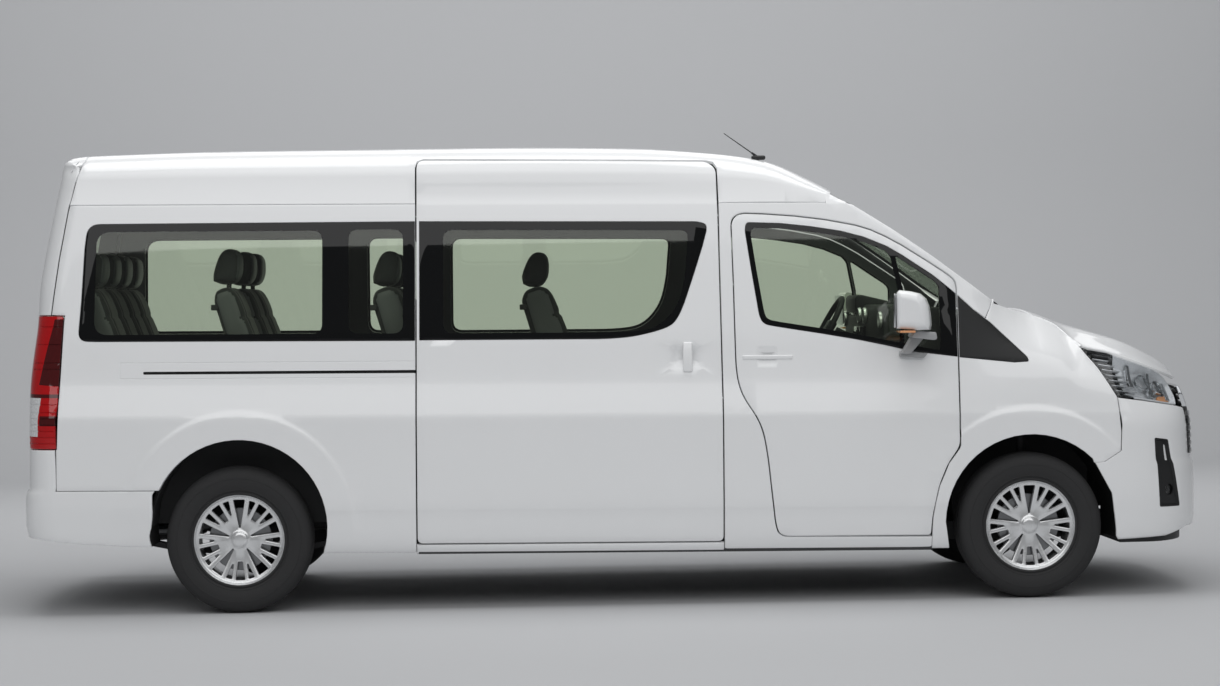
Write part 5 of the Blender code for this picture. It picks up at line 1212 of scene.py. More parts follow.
class VAN_OT_front_bumper(bpy.types.Operator):
    """Model the front bumper with its grilles, fog lamps and blank plate"""
    bl_idname = "van.front_bumper"
    bl_label = "Front bumper and grilles"

    def execute(self, context):
        edge = on_nose([(x + 0.002, z) for x, z in BUMPER_EDGE])
        low = [(0.0, 0.345), (0.50, 0.345), (0.62, 0.350)]
        low += on_nose([(2.850, 0.352), (2.722, 0.312), (2.474, 0.300)])
        top = on_nose([(2.474, 1.0005), (2.596, 0.9845), (2.700, 0.9685), (2.797, 0.9535)])
        top += [(0.640, 0.9235), (0.0, 0.9235)]
        outline = spaced(both((low[1:] + edge[1:] + top[:-1])[::-1]), 0.05)
        openings = [[(-0.560, GRILLE_Z[1], 0.03), (0.560, GRILLE_Z[1], 0.03),
                     (0.615, GRILLE_Z[0], 0.05), (-0.615, GRILLE_Z[0], 0.05)],
                    [(-0.470, LOWER_Z[1], 0.03), (0.470, LOWER_Z[1], 0.03),
                     (0.540, LOWER_Z[0], 0.03), (-0.540, LOWER_Z[0], 0.03)]]
        bezel = loop(on_nose([(2.654, 0.802, 0.010), (2.728, 0.792, 0.010),
                              (2.799, 0.462, 0.010), (2.684, 0.462, 0.010)]), 0.04)
        holes = [loop(ring, 0.04) for ring in openings]
        holes += [bezel, [Vector((-p.x, p.y)) for p in bezel[::-1]]]
        panel = skin(outline, nose, LEFT, 0.012, NOSE_ROWS, spread(-1.4, 1.4, 0.04), 1,
                     holes=holes, falls=[(both(low[::-1]), 0.015)])
        piece("front_bumper_skin", panel, ["white", "seam"], "front_bumper")
        # a near-black sheet behind the grille openings: painted shade inside the nose
        back = spaced(both([(0.0, 0.925), (0.66, 0.925), (0.700, 0.400), (0.0, 0.380)]), 0.06)
        panel = skin(back, nose, LEFT, 0.006, NOSE_ROWS, spread(-1.0, 1.0, 0.06), lift=-0.075)
        piece("grille_backing", panel, ["seam"])
        bm = bmesh.new()
        slats(bm, [GRILLE_Z[0] + 0.016 + k * 0.0365 for k in range(6)], 0.0065, 0.003,
              lambda z: 0.612 - 0.055 * (z - GRILLE_Z[0]) / 0.2, 0.04, 0.045, 0.004)
        slats(bm, [LOWER_Z[0] + 0.017 + k * 0.033 for k in range(4)], 0.005, 0.002,
              lambda z: 0.532 - 0.07 * (z - LOWER_Z[0]) / 0.135, 0.04, 0.040, 0.006)
        piece("grille_slats", bm, ["black"])
        plate = loop(oblong((-0.168, 0.555), (0.168, 0.668), 0.01), 0.04)
        panel = skin(plate, nose, LEFT, 0.004, NOSE_ROWS, spread(-0.2, 0.2, 0.04), roll=0.001,
                     lift=0.004)
        piece("front_plate", panel, ["plate"])
        self.upper_grille()
        self.cheeks()
        self.fog_lamps(bezel)
        return {"FINISHED"}

    def upper_grille(self):
        """The strip below the bonnet: a dark chrome frame and black bars."""
        strip = both([(0.0, 1.047), (0.50, 1.047), (0.640, 1.045), (0.655, 1.010), (0.645, 0.965),
                      (0.635, 0.9285), (0.0, 0.9285)])
        window = loop([(x, z, 0.012) for x, z in
                       ((-0.600, 1.030), (0.600, 1.030), (0.618, 0.994), (0.600, 0.946),
                        (-0.600, 0.946), (-0.618, 0.994))])
        panel = skin(spaced(strip, 0.05), nose, LEFT, 0.020, NOSE_ROWS, spread(-0.7, 0.7, 0.05),
                     holes=[window], roll=0.005)
        piece("upper_grille_frame", panel, ["chrome"], "grille")
        bm = bent_panel(window, nose, 0.006, 0.030)
        slats(bm, [0.958 + k * 0.030 for k in range(3)], 0.005, 0.002, lambda z: 0.604, 0.05,
              0.022, 0.007)
        piece("upper_grille_bars", bm, ["black"])

    def cheeks(self):
        """The black panels beside the grille, with their teeth."""
        cheek = loop(on_nose([(2.838, 0.948, 0.004), (2.878, 0.944, 0.004),
                              (2.900, 0.712, 0.004), (2.864, 0.716, 0.004)]), 0.03)
        pair("grille_cheek", skin(cheek, nose, RIGHT, 0.006, NOSE_ROWS, roll=0.001, lift=0.003),
             ["black"])
        bm = bmesh.new()
        for k in range(6):
            z = 0.730 + 0.0365 * k
            behind = 2.861 - 0.017 * k / 6
            tooth = on_nose([(behind, z + 0.011), (behind + 0.034, z + 0.011),
                             (behind + 0.036, z - 0.011), (behind + 0.002, z - 0.011)])
            add_mesh(bm, bent_panel(vectors(tooth), nose, 0.016, -0.009, roll=0.001))
        pair("grille_teeth", bm, ["gloss"])

    def fog_lamps(self, bezel):
        """The upright black bezels at the bumper's corners, with lamp and light strip."""
        middle = on_nose([(2.742, 0.600)])[0][0]
        lamp = round_ring((middle, 0.545), 0.028, 24)
        panel = skin(bezel, nose, RIGHT, 0.010, NOSE_ROWS, holes=[lamp],
                     dents=[(grown(bezel, -0.006), 0.016, 0.010)], roll=0.002, lift=-0.0005)
        pair("fog_bezel", panel, ["black"])
        pair("fog_reflector", bent_panel(lamp, nose, 0.004, 0.042), ["mirror"])
        pair("fog_lens", bent_panel(grown(lamp, -0.001), nose, 0.003, 0.020), ["lens"])
        light = on_nose([(2.706, 0.770, 0.004), (2.717, 0.766, 0.004), (2.733, 0.690, 0.004),
                         (2.719, 0.690, 0.004)])
        pair("day_light", bent_panel(loop(light, 0.03), nose, 0.006, 0.010), ["plate"])


def bent_panel(outline, surface_of, depth, sink, roll=0.0025, rows=None):
    """A right-hand panel, sunk below a surface."""
    low, high = min(p.x for p in outline), max(p.x for p in outline)
    bm = flat_panel(outline, rows or NOSE_ROWS, spread(low, high, 0.05), roll=roll, lift=-sink)
    thicken(bm, depth + sink)
    return bend(bm, surface_of, RIGHT)


class VAN_OT_headlamps(bpy.types.Operator):
    """Model the headlamps: housing, reflectors, black louvres, lens"""
    bl_idname = "van.headlamps"
    bl_label = "Headlamps"

    def execute(self, context):
        outline = loop(on_nose(HEADLAMP), 0.03)
        rows = spread(0.93, 1.27, 0.02)
        columns = spread(0.5, 1.6, 0.025)
        panel = skin(grown(outline, -0.003), nose, RIGHT, 0.003, rows, columns, roll=0.002,
                     lift=-0.001)
        pair("headlamp_lens", panel, ["lens"], "headlamp")
        blind = on_nose([(2.280, 1.290), (2.432, 1.290), (2.500, 1.105), (2.580, 0.960),
                         (2.440, 0.960), (2.360, 1.146)])
        # the housing's bowl takes the reflector finish: its bright reflection is painted in as a
        # near-white colour
        bowl = flat_panel(grown(outline, -0.0035), rows, columns, roll=0.001, lift=-0.003,
                          dents=[(grown(outline, -0.007), 0.048, 0.030)],
                          patches=[(vectors(blind), 1)])
        thicken(bowl, 0.056)
        pair("headlamp_housing", bend(bowl, nose, RIGHT), ["reflector", "gloss"])
        bm = bmesh.new()
        for k in range(7):
            z = 1.190 - 0.0262 * k
            behind = np.interp(z, [1.004, 1.146, 1.252], [2.468, 2.383, 2.297]) + 0.010
            ahead = behind + 0.085 + 0.006 * k
            bar = on_nose([(behind, z + 0.006), (ahead, z - 0.006), (ahead - 0.003, z - 0.010),
                           (behind + 0.006, z + 0.002)])
            add_mesh(bm, bent_panel(vectors(bar), nose, 0.030, 0.008, roll=0.001))
        pair("headlamp_louvres", bm, ["silver"])
        bm = bmesh.new()
        for x, low, high in ((2.540, 1.050, 1.165), (2.655, 1.000, 1.120), (2.745, 0.985, 1.070)):
            fin = on_nose([(x - 0.010, high), (x + 0.006, high - 0.004), (x + 0.026, low),
                           (x + 0.004, low + 0.004)])
            add_mesh(bm, bent_panel(spaced(vectors(fin), 0.03), nose, 0.026, 0.014, 0.001, rows))
        for x, z, radius in ((2.610, 1.075, 0.036), (2.700, 1.050, 0.032)):
            ring = round_ring((on_nose([(x, z)])[0][0], z), radius, 32)
            tube = flat_panel(ring, [], [], holes=[grown(ring, -0.005)], roll=0.002, lift=-0.008)
            thicken(tube, 0.045)
            add_mesh(bm, bend(tube, nose, RIGHT))
        pair("headlamp_rings", bm, ["mirror"])
        amber = on_nose([(2.700, 1.010, 0.01), (2.760, 1.010, 0.01), (2.775, 0.972, 0.01),
                         (2.700, 0.984, 0.01)])
        pair("turn_signal", bent_panel(loop(amber, 0.02), nose, 0.010, 0.020, rows=rows),
             ["amber"])
        return {"FINISHED"}


def on_screen(u, v):
    """The windscreen's point at these distances."""
    return Vector(screen(np.array([u]), np.array([v]))[0])


class VAN_OT_windscreen(bpy.types.Operator):
    """Model the bonded windscreen, the cowl below it and the wipers"""
    bl_idname = "van.windscreen"
    bl_label = "Windscreen and wipers"

    def execute(self, context):
        base = SCREEN_HEIGHT - 0.004
        outline = loop([(-SCREEN_REACH, 0.006, 0.05), (SCREEN_REACH, 0.006, 0.05),
                        (SCREEN_REACH, base, 0.03), (-SCREEN_REACH, base, 0.03)], 0.06)
        clear = loop(oblong((-0.735, 0.060), (0.735, SCREEN_HEIGHT - 0.080), 0.06), 0.06)
        panel = skin(outline, screen, LEFT, 0.006, spread(0.0, SCREEN_HEIGHT, 0.05),
                     spread(-0.8, 0.8, 0.05), roll=0.0015, patches=[(clear, 1)])
        piece("windscreen_pane", panel, ["band", "screen"], "windscreen")
        bm = bmesh.new()
        across(bm, [(1.600, 0.470), (1.640, 0.470), (1.640, 1.020), (1.740, 1.340),
                    (2.060, 1.340), (2.075, 1.395), (2.046, 1.422), (1.900, 1.436),
                    (1.780, 1.436), (1.700, 1.400), (1.600, 1.050)], -0.660, 0.660, 0.006)
        piece("cowl", bm, ["black"], "scuttle")
        bm = bmesh.new()
        up = Vector((0.007, 0.0, 0.010))
        for hand in (-1, 1):
            foot = on_screen(0.52 * hand, SCREEN_HEIGHT + 0.012)
            end = on_screen(0.10 * hand, SCREEN_HEIGHT - 0.045)
            rod_between(bm, foot + up * 0.4, end + up, 0.007, 0.005)
            rod_between(bm, foot - up * 2.0, foot + up * 0.4, 0.014, 0.011)
            tips = [on_screen(0.10 * hand + share, SCREEN_HEIGHT - 0.045 - 0.02 * share * hand)
                    + up * 0.5 for share in (-0.30, 0.30)]
            rod_between(bm, tips[0], tips[1], 0.0045, 0.0045, 8)
        piece("wipers", bm, ["black"])
        return {"FINISHED"}


class VAN_OT_tail(bpy.types.Operator):
    """Model the tailgate with its glass, the tail lamps and the rear bumper"""
    bl_idname = "van.tail"
    bl_label = "Tailgate, tail lamps and rear bumper"

    def execute(self, context):
        gap = SHUT_GAP / 2
        edge = [(rear_place(x - gap, z), z) for x, z in spaced_pairs(TAILGATE_EDGE[:5], 0.06)]
        top = REAR_TOP - 0.0045
        half = [(0.757, top), (0.788, top - 0.005), (0.812, top - 0.009), (0.838, top - 0.040),
                (0.856, 2.180), (0.858, 2.131)] + edge[::-1]
        half += [(0.789, 1.4310), (0.789, 0.640), (0.760, 0.5895)]
        glass = loop([(-0.690, 2.005, 0.10), (0.690, 2.005, 0.10), (0.735, 1.335, 0.08),
                      (-0.735, 1.335, 0.08)], 0.06)
        clear = loop([(-0.610, 1.945, 0.10), (0.610, 1.945, 0.10), (0.640, 1.395, 0.08),
                      (-0.640, 1.395, 0.08)], 0.06)
        plate_bed = loop(oblong((-0.290, 0.880), (0.290, 1.065), 0.02))
        rows = spread(0.60, REAR_TOP, 0.045) + [1.0885, 1.112, 2.105, 2.122, 2.138, 2.166, 2.19,
                                                2.215, 2.24, 2.26, 2.28]
        columns = spread(-0.60, 0.60, 0.06)
        columns += [hand * (0.64 + 0.02 * k) for k in range(16) for hand in (-1, 1)]
        rows, columns = sorted(rows), sorted(columns)
        panel = skin(spaced(both(half), 0.05), rear, LEFT, 0.036, rows, columns, 1,
                     holes=[grown(clear, 0.012)],
                     dents=[(grown(glass, BED_GAP), BED, 0.0012), (plate_bed, 0.014, 0.016)])
        piece("tailgate_skin", panel, ["white", "lining"], "tailgate",
              "tailgate_lid")
        seal = [(u - 0.020, z) for u, z in edge] + [(u + 0.020, z) for u, z in edge[::-1]]
        pair("tailgate_seal", skin(vectors(seal), rear, RIGHT, 0.004, roll=0.001, lift=-0.040),
             ["seam"])
        piece("tailgate_pane", pane(glass, rear, [clear], LEFT, rows, columns),
              ["band", "glass"], "tailgate_glass", "tailgate_lid")
        plate = loop(oblong((-0.165, 0.895), (0.165, 1.050), 0.01))
        piece("rear_plate", skin(plate, rear, LEFT, 0.003, roll=0.001, lift=-0.009), ["plate"],
              None, "tailgate_lid")
        bar = loop([(-0.315, 1.078, 0.008), (0.315, 1.078, 0.008), (0.315, 1.112, 0.012),
                    (-0.315, 1.112, 0.012)])
        panel = skin(bar, rear, LEFT, 0.016, [], columns, roll=0.007, lift=0.014)
        piece("tailgate_pull", panel, ["chrome"], None, "tailgate_lid")
        self.lamps()
        half = [(LAMP_INNER_Y, 0.583), (LAMP_INNER_Y, 0.781)]
        half += on_rear([(-2.698, 0.781), (-2.698, 0.5805), (-2.2185, 0.5805), (-2.230, 0.480),
                         (-2.2385, 0.400), (-2.240, 0.305), (-2.560, 0.322), (-2.811, 0.350)])
        half += [(0.70, 0.352)]
        rows = [0.32, 0.335, 0.36, 0.409, 0.45, 0.495, 0.510, 0.530, 0.56, 0.572, 0.583, 0.60,
                0.64, 0.70, 0.76]
        panel = skin(spaced(both(half), 0.05), rear, LEFT, 0.014, rows, spread(-1.7, 1.7, 0.05),
                     1)
        piece("rear_bumper_skin", panel, ["white", "seam"], "rear_bumper")
        return {"FINISHED"}

    def lamps(self):
        """Red tail lamps with a darker column, ribs and a clear reversing lamp."""
        edge = on_rear([(x - 0.002, z) for x, z in LAMP_FRONT_EDGE[1:]])
        outline = [(LAMP_INNER_Y, 1.4275, 0.006), (rear_place(-2.662, 1.4265), 1.4265, 0.012)]
        outline += edge[:-1] + [(edge[-1][0], 0.7855, 0.006), (LAMP_INNER_Y, 0.7855, 0.006)]
        inner = LAMP_INNER_Y + 0.063
        ribs = [(loop(oblong((inner, z - 0.003), (1.10, z + 0.003)), 0.03), 0.003, 0.0015)
                for z in (0.812, 0.842, 0.872, 0.902, 0.932, 0.962, 1.000, 1.170, 1.200, 1.290,
                          1.375)]
        # the last patch is the reversing lamp: painted reflection, near white behind its clear
        # lens
        panels = [([(0.925, 1.095), (1.150, 1.080), (1.150, 1.412), (0.940, 1.412)], 1),
                  (oblong((0.962, 0.897), (1.150, 0.945)), 1),
                  (oblong((0.780, 1.032), (1.150, 1.050)), 1),
                  (oblong((0.780, 0.845), (0.952, 1.032)), 2)]
        patches = [(spaced(vectors(ring), 0.03), which) for ring, which in panels]
        panel = skin(loop(outline, 0.03), rear, RIGHT, 0.030, spread(0.79, 1.43, 0.03),
                     spread(0.79, 1.10, 0.015), dents=ribs, patches=patches, roll=0.003)
        pair("tail_lamp_lens", panel, ["red", "dark red", "reflector"], "tail_lamp")


# -------------------------------------------------------------------- wheels
AXLES = {"front": (2.0345, 0.356), "rear": (-1.8255, 0.356)}
WHEEL_Y = 0.830
# cast face of the wheel: (radius, distance out from the wheel's middle)
FACE = Curve([0.0, 0.036, 0.042, 0.060, 0.100, 0.150, 0.195, 0.206, 0.214, 0.219],
             [0.073, 0.072, 0.066, 0.063, 0.066, 0.073, 0.081, 0.083, 0.088, 0.094])
TREAD = [
    (0.2190, 0.0960), (0.2215, 0.1010), (0.2265, 0.1030), (0.2310, 0.1010), (0.2335, 0.0985),
    (0.2420, 0.1040), (0.2430, 0.1052), (0.2450, 0.1052), (0.2460, 0.1046), (0.2650, 0.1105),
    (0.2850, 0.1125), (0.2980, 0.1122), (0.2988, 0.1132), (0.3010, 0.1132), (0.3018, 0.1116),
    (0.3150, 0.1095), (0.3290, 0.1040), (0.3400, 0.0960), (0.3455, 0.0890), (0.3490, 0.0830),
    (0.3515, 0.0740), (0.3530, 0.0660), (0.3470, 0.0650), (0.3470, 0.0590), (0.3538, 0.0580),
    (0.3552, 0.0400), (0.3556, 0.0270), (0.3475, 0.0260), (0.3475, 0.0170), (0.3558, 0.0160),
    (0.3560, 0.0000),
]


def turned(profile, steps, closed=True):
    """A ring or cup spun about the wheel's axle: the profile is (radius, distance out)."""
    bm = bmesh.new()
    verts = [bm.verts.new((radius, out, 0.0)) for radius, out in profile]
    edges = [bm.edges.new(pair_of) for pair_of in zip(verts, verts[1:])]
    if closed:
        edges.append(bm.edges.new((verts[-1], verts[0])))
    bmesh.ops.spin(bm, geom=verts + edges, cent=(0, 0, 0), axis=(0, 1, 0), steps=steps,
                   angle=2 * math.pi, use_merge=True)
    bmesh.ops.remove_doubles(bm, verts=bm.verts, dist=1e-6)
    bmesh.ops.recalc_face_normals(bm, faces=bm.faces)
    return bm


def slot(turn, inner, outer, half_in, half_out):
    """A tapered slot between two spokes: half_in and half_out are half widths in degrees."""
    points = []
    for angle, radius, size in ((-half_in, inner, 0.003), (-half_out, outer, 0.006),
                                (half_out, outer, 0.006), (half_in, inner, 0.003)):
        a = math.radians(turn + angle)
        points.append((radius * math.sin(a), radius * math.cos(a), size))
    return rounded(points, 4)


# the slots of a fifth of the wheel: (turn, (inner, outer, half widths in and out))
SLOTS = [(0.0, (0.056, 0.196, 2.5, 8.2)), (19.5, (0.124, 0.195, 1.5, 4.4)),
         (36.0, (0.108, 0.197, 5.6, 6.6)), (52.5, (0.124, 0.195, 1.5, 4.4))]


def wheel_face(u, v):
    """Cast face of a wheel, laid out flat."""
    return np.stack([u, FACE(np.hypot(u, v)), v], axis=-1)


class VAN_OT_wheels(bpy.types.Operator):
    """Model the tyres with their tread and the cast wheels with twenty slots"""
    bl_idname = "van.wheels"
    bl_label = "Wheels"

    def execute(self, context):
        whole = TREAD + [(radius, -out) for radius, out in TREAD[-2::-1]]
        whole += [(0.216, -0.090), (0.222, -0.060), (0.222, 0.060), (0.216, 0.090)]
        tyre = mesh_of(turned(whole, 96), "tyre_tread", 40.0, tilt=False)
        slots = [slot(72.0 * fifth + turn, *shape) for fifth in range(5) for turn, shape in SLOTS]
        circle = [Vector((p.y, p.x)) for p in round_ring((0, 0), 0.219, 120)]
        turns = [2 * math.pi * k / 60 for k in range(61)]
        rings = [[(radius * math.sin(a), radius * math.cos(a)) for a in turns]
                 for radius in (0.012, 0.036, 0.042, 0.050, 0.100, 0.203, 0.208)]
        face = flat_panel(circle, [], [], holes=slots, lines=rings, roll=0.0045)
        thicken(face, 0.022)
        bend(face, wheel_face)
        barrel = turned([(0.219, 0.096), (0.216, 0.090), (0.214, 0.060), (0.204, 0.030),
                         (0.204, -0.080), (0.216, -0.096), (0.219, -0.100), (0.212, -0.096),
                         (0.199, -0.078), (0.199, 0.030), (0.206, 0.060), (0.209, 0.084),
                         (0.214, 0.090)], 96)
        add_mesh(face, barrel)
        rim = mesh_of(face, "cast_wheel", 35.0, tilt=False)
        cap = mesh_of(turned([(0.0, 0.0785), (0.020, 0.0780), (0.030, 0.0765), (0.0345, 0.0735),
                              (0.0355, 0.066), (0.0, 0.066)], 48, closed=False),
                      "wheel_cap", tilt=False)
        hub = turned([(0.0, 0.045), (0.058, 0.045), (0.062, 0.040), (0.062, -0.020),
                      (0.0, -0.020)], 32, closed=False)
        add_mesh(hub, turned([(0.062, 0.030), (0.150, 0.030), (0.152, 0.028), (0.152, 0.004),
                              (0.150, 0.002), (0.062, 0.002)], 64))
        brake = mesh_of(hub, "brake_disc", tilt=False)
        kinds = [("tyre", tyre, "rubber", "tyre_rubber", "tyre_"),
                 ("rim", rim, "silver", "alloy", "rim_"), ("cap", cap, "silver", "alloy", None),
                 ("brake", brake, "steel", "bare_steel", None)]
        for end, (x, z) in AXLES.items():
            for label, hand in (("right", RIGHT), ("left", LEFT)):
                wheel = "%s_wheel_%s" % (end, label)
                for name, mesh, finish, slot_name, node in kinds:
                    own = placed(mesh, hand, Vector((x, hand * WHEEL_Y, z)))
                    piece("%s_%s_%s" % (end, label, name), own, [finish],
                          node and "%s%s_%s" % (node, end, label), wheel)
        return {"FINISHED"}


def add_mesh(bm, other):
    """Move another bmesh's faces into this one."""
    mesh = bpy.data.meshes.new("joined")
    other.to_mesh(mesh)
    other.free()
    bm.from_mesh(mesh)
    bpy.data.meshes.remove(mesh)


def placed(mesh, hand, spot):
    """A copy of a mesh turned to the van's right or left and moved to its place."""
    bm = bmesh.new()
    bm.from_mesh(mesh)
    if hand < 0:
        bmesh.ops.scale(bm, vec=(1, -1, 1), verts=bm.verts)
        bmesh.ops.reverse_faces(bm, faces=bm.faces)
    bmesh.ops.translate(bm, vec=spot, verts=bm.verts)
    own = bpy.data.meshes.new(mesh.name)
    bm.to_mesh(own)
    bm.free()
    own.shade_smooth()
    own.set_sharp_from_angle(angle=math.radians(38.0))
    return own


# ------------------------------------------------------------------------ cabin
SEAT_FOOT_Z = 0.870
BACK_LENGTH = 0.735
SEAT_LEAN = math.radians(17.0)
HEADREST_TIP = math.radians(22.0)     # the headrest tips forward again
PAD_WIDTH = 0.430
PAD_VOXEL = 0.0125
PAD_CAP = 0.012                       # the most that a cover may swell
SEAT_ROWS = [
    # node, x of the backrests' foot, width of a seat, how much thicker its backrest is than
    # BACK_SIDE, how far the headrests are pulled up, middles of the seats
    ("seat_row_1", -0.162, 0.430, 1.32, 0.002, (-0.120, 0.330)),
    ("seat_row_2", -0.903, 0.430, 1.25, 0.002, (-0.560, 0.110, 0.560)),
    ("seat_row_3", -1.695, 0.430, 1.03, 0.016, (-0.560, 0.110, 0.560)),
    ("seat_row_4", -2.358, 0.370, 1.03, 0.002, (-0.570, -0.190, 0.190, 0.570)),
    ("front_seats", 0.790, 0.420, 1.15, 0.002, (-0.560, -0.130, 0.480)),
]
# side views of the pads, from the backrest's foot: (forward, up)
CUSHION_SIDE = [(0.000, 0.008), (0.002, 0.112), (0.120, 0.118), (0.300, 0.122), (0.400, 0.116),
                (0.436, 0.094), (0.444, 0.055), (0.432, 0.010), (0.220, 0.006)]
BACK_SIDE = [(-0.058, 0.020), (-0.057, 0.600), (-0.057, 0.700), (-0.044, 0.732), (0.008, 0.738),
             (0.036, 0.716), (0.046, 0.640), (0.053, 0.540), (0.060, 0.420), (0.062, 0.270),
             (0.056, 0.150), (0.040, 0.020)]
HEADREST_SIDE = [(-0.064, -0.002), (-0.042, 0.128), (-0.026, 0.156), (0.000, 0.170),
                 (0.042, 0.163), (0.060, 0.138), (0.066, 0.062), (0.058, 0.022), (0.036, -0.002)]
BELT_GUIDE = (-0.072, 0.645)          # on the back of each backrest: (forward, up)
STEERING_WHEEL = Vector((1.205, 0.480, 1.335))
COLUMN_TILT = math.radians(28.0)
COLUMN = Vector((-math.cos(COLUMN_TILT), 0.0, math.sin(COLUMN_TILT)))


def across(bm, outline, low, high, bevel=0.004, segments=2):
    """A bar with this side view, from one distance across the van to another."""
    first = bm.faces.new([bm.verts.new((x, low, z)) for x, z in outline])
    made = bmesh.ops.extrude_face_region(bm, geom=[first], use_keep_orig=True)["geom"]
    verts = [item for item in made if isinstance(item, bmesh.types.BMVert)]
    bmesh.ops.translate(bm, vec=(0.0, high - low, 0.0), verts=verts)
    verts += list(first.verts)
    bmesh.ops.recalc_face_normals(bm, faces=list({f for v in verts for f in v.link_faces}))
    sharp = {edge for vert in verts for edge in vert.link_edges
             if edge.calc_face_angle(0.0) > 0.35}
    bmesh.ops.bevel(bm, geom=list(sharp), offset=bevel, segments=segments, profile=0.5,
                    affect="EDGES", material=-1, clamp_overlap=True)


def stuffed(name, outline, half, edge, shrink):
    """A pad: its form narrows at both sides, and its cover swells by cloth simulation."""
    bm = bmesh.new()
    face = bm.faces.new([bm.verts.new((x, -half, z)) for x, z in outline])
    middle = face.calc_center_median()
    bmesh.ops.scale(bm, vec=(1 - shrink, 1.0, 1 - shrink), space=Matrix.Translation(-middle),
                    verts=list(face.verts))
    stations = [(-half, 1 - shrink), (-half + 0.3 * edge, 1 - 0.35 * shrink),
                (-half + edge, 1.0), (half - edge, 1.0), (half - 0.3 * edge, 1 - 0.35 * shrink),
                (half, 1 - shrink)]
    for (y, size), (next_y, next_size) in zip(stations, stations[1:]):
        face = bmesh.ops.extrude_discrete_faces(bm, faces=[face])["faces"][0]
        verts = list(face.verts)
        ratio = next_size / size
        bmesh.ops.scale(bm, vec=(ratio, 1.0, ratio), space=Matrix.Translation(-middle),
                        verts=verts)
        bmesh.ops.translate(bm, vec=(0.0, next_y - y, 0.0), verts=verts)
    bmesh.ops.holes_fill(bm, edges=bm.edges[:], sides=0)
    bmesh.ops.recalc_face_normals(bm, faces=bm.faces)
    mesh = bpy.data.meshes.new(name)
    bm.to_mesh(mesh)
    bm.free()
    pad = bpy.data.objects.new(name, mesh)
    scene = bpy.context.scene
    scene.collection.objects.link(pad)
    grid = pad.modifiers.new("Remesh", "REMESH")
    grid.mode = "VOXEL"
    grid.voxel_size = PAD_VOXEL
    shell = bpy.data.meshes.new_from_object(
        pad.evaluated_get(bpy.context.evaluated_depsgraph_get()))
    pad.modifiers.clear()
    pad.data = shell
    cloth = pad.modifiers.new("Cloth", "CLOTH")
    cloth.settings.use_pressure = True
    cloth.settings.uniform_pressure_force = scene.van_sizes.seat_swell
    cloth.settings.effector_weights.gravity = 0.0
    for step in range(1, 21):
        scene.frame_set(step)
    full = pad.evaluated_get(bpy.context.evaluated_depsgraph_get()).data
    for vert, moved in zip(shell.vertices, full.vertices):
        way = moved.co - vert.co
        vert.co += way * min(1.0, PAD_CAP / max(way.length, 1e-9))
    pad.modifiers.clear()
    scene.frame_set(1)
    bpy.data.objects.remove(pad)
    bm = bmesh.new()
    bm.from_mesh(shell)
    for _ in range(2):
        bmesh.ops.smooth_vert(bm, verts=bm.verts, factor=0.5, use_axis_x=True, use_axis_y=True,
                              use_axis_z=True)
    return bm


def sewn(bm, seams):
    """Sewn channels: each is (axis, place, depth, half width, least front)."""
    bm.normal_update()
    for axis, place, depth, width, front in seams:
        for vert in bm.verts:
            if vert.normal.x > front or vert.normal.z > 0.7:
                off = (abs(vert.co[axis]) - place) / width
                vert.co -= vert.normal * (depth * math.exp(-off * off))


def as_mesh(bm, name, colour_of):
    """The bmesh as a mesh; colour_of gives a face's material index."""
    bm.normal_update()
    for face in bm.faces:
        face.smooth = True
        face.material_index = colour_of(face)
    mesh = bpy.data.meshes.new(name)
    bm.to_mesh(mesh)
    bm.free()
    return mesh


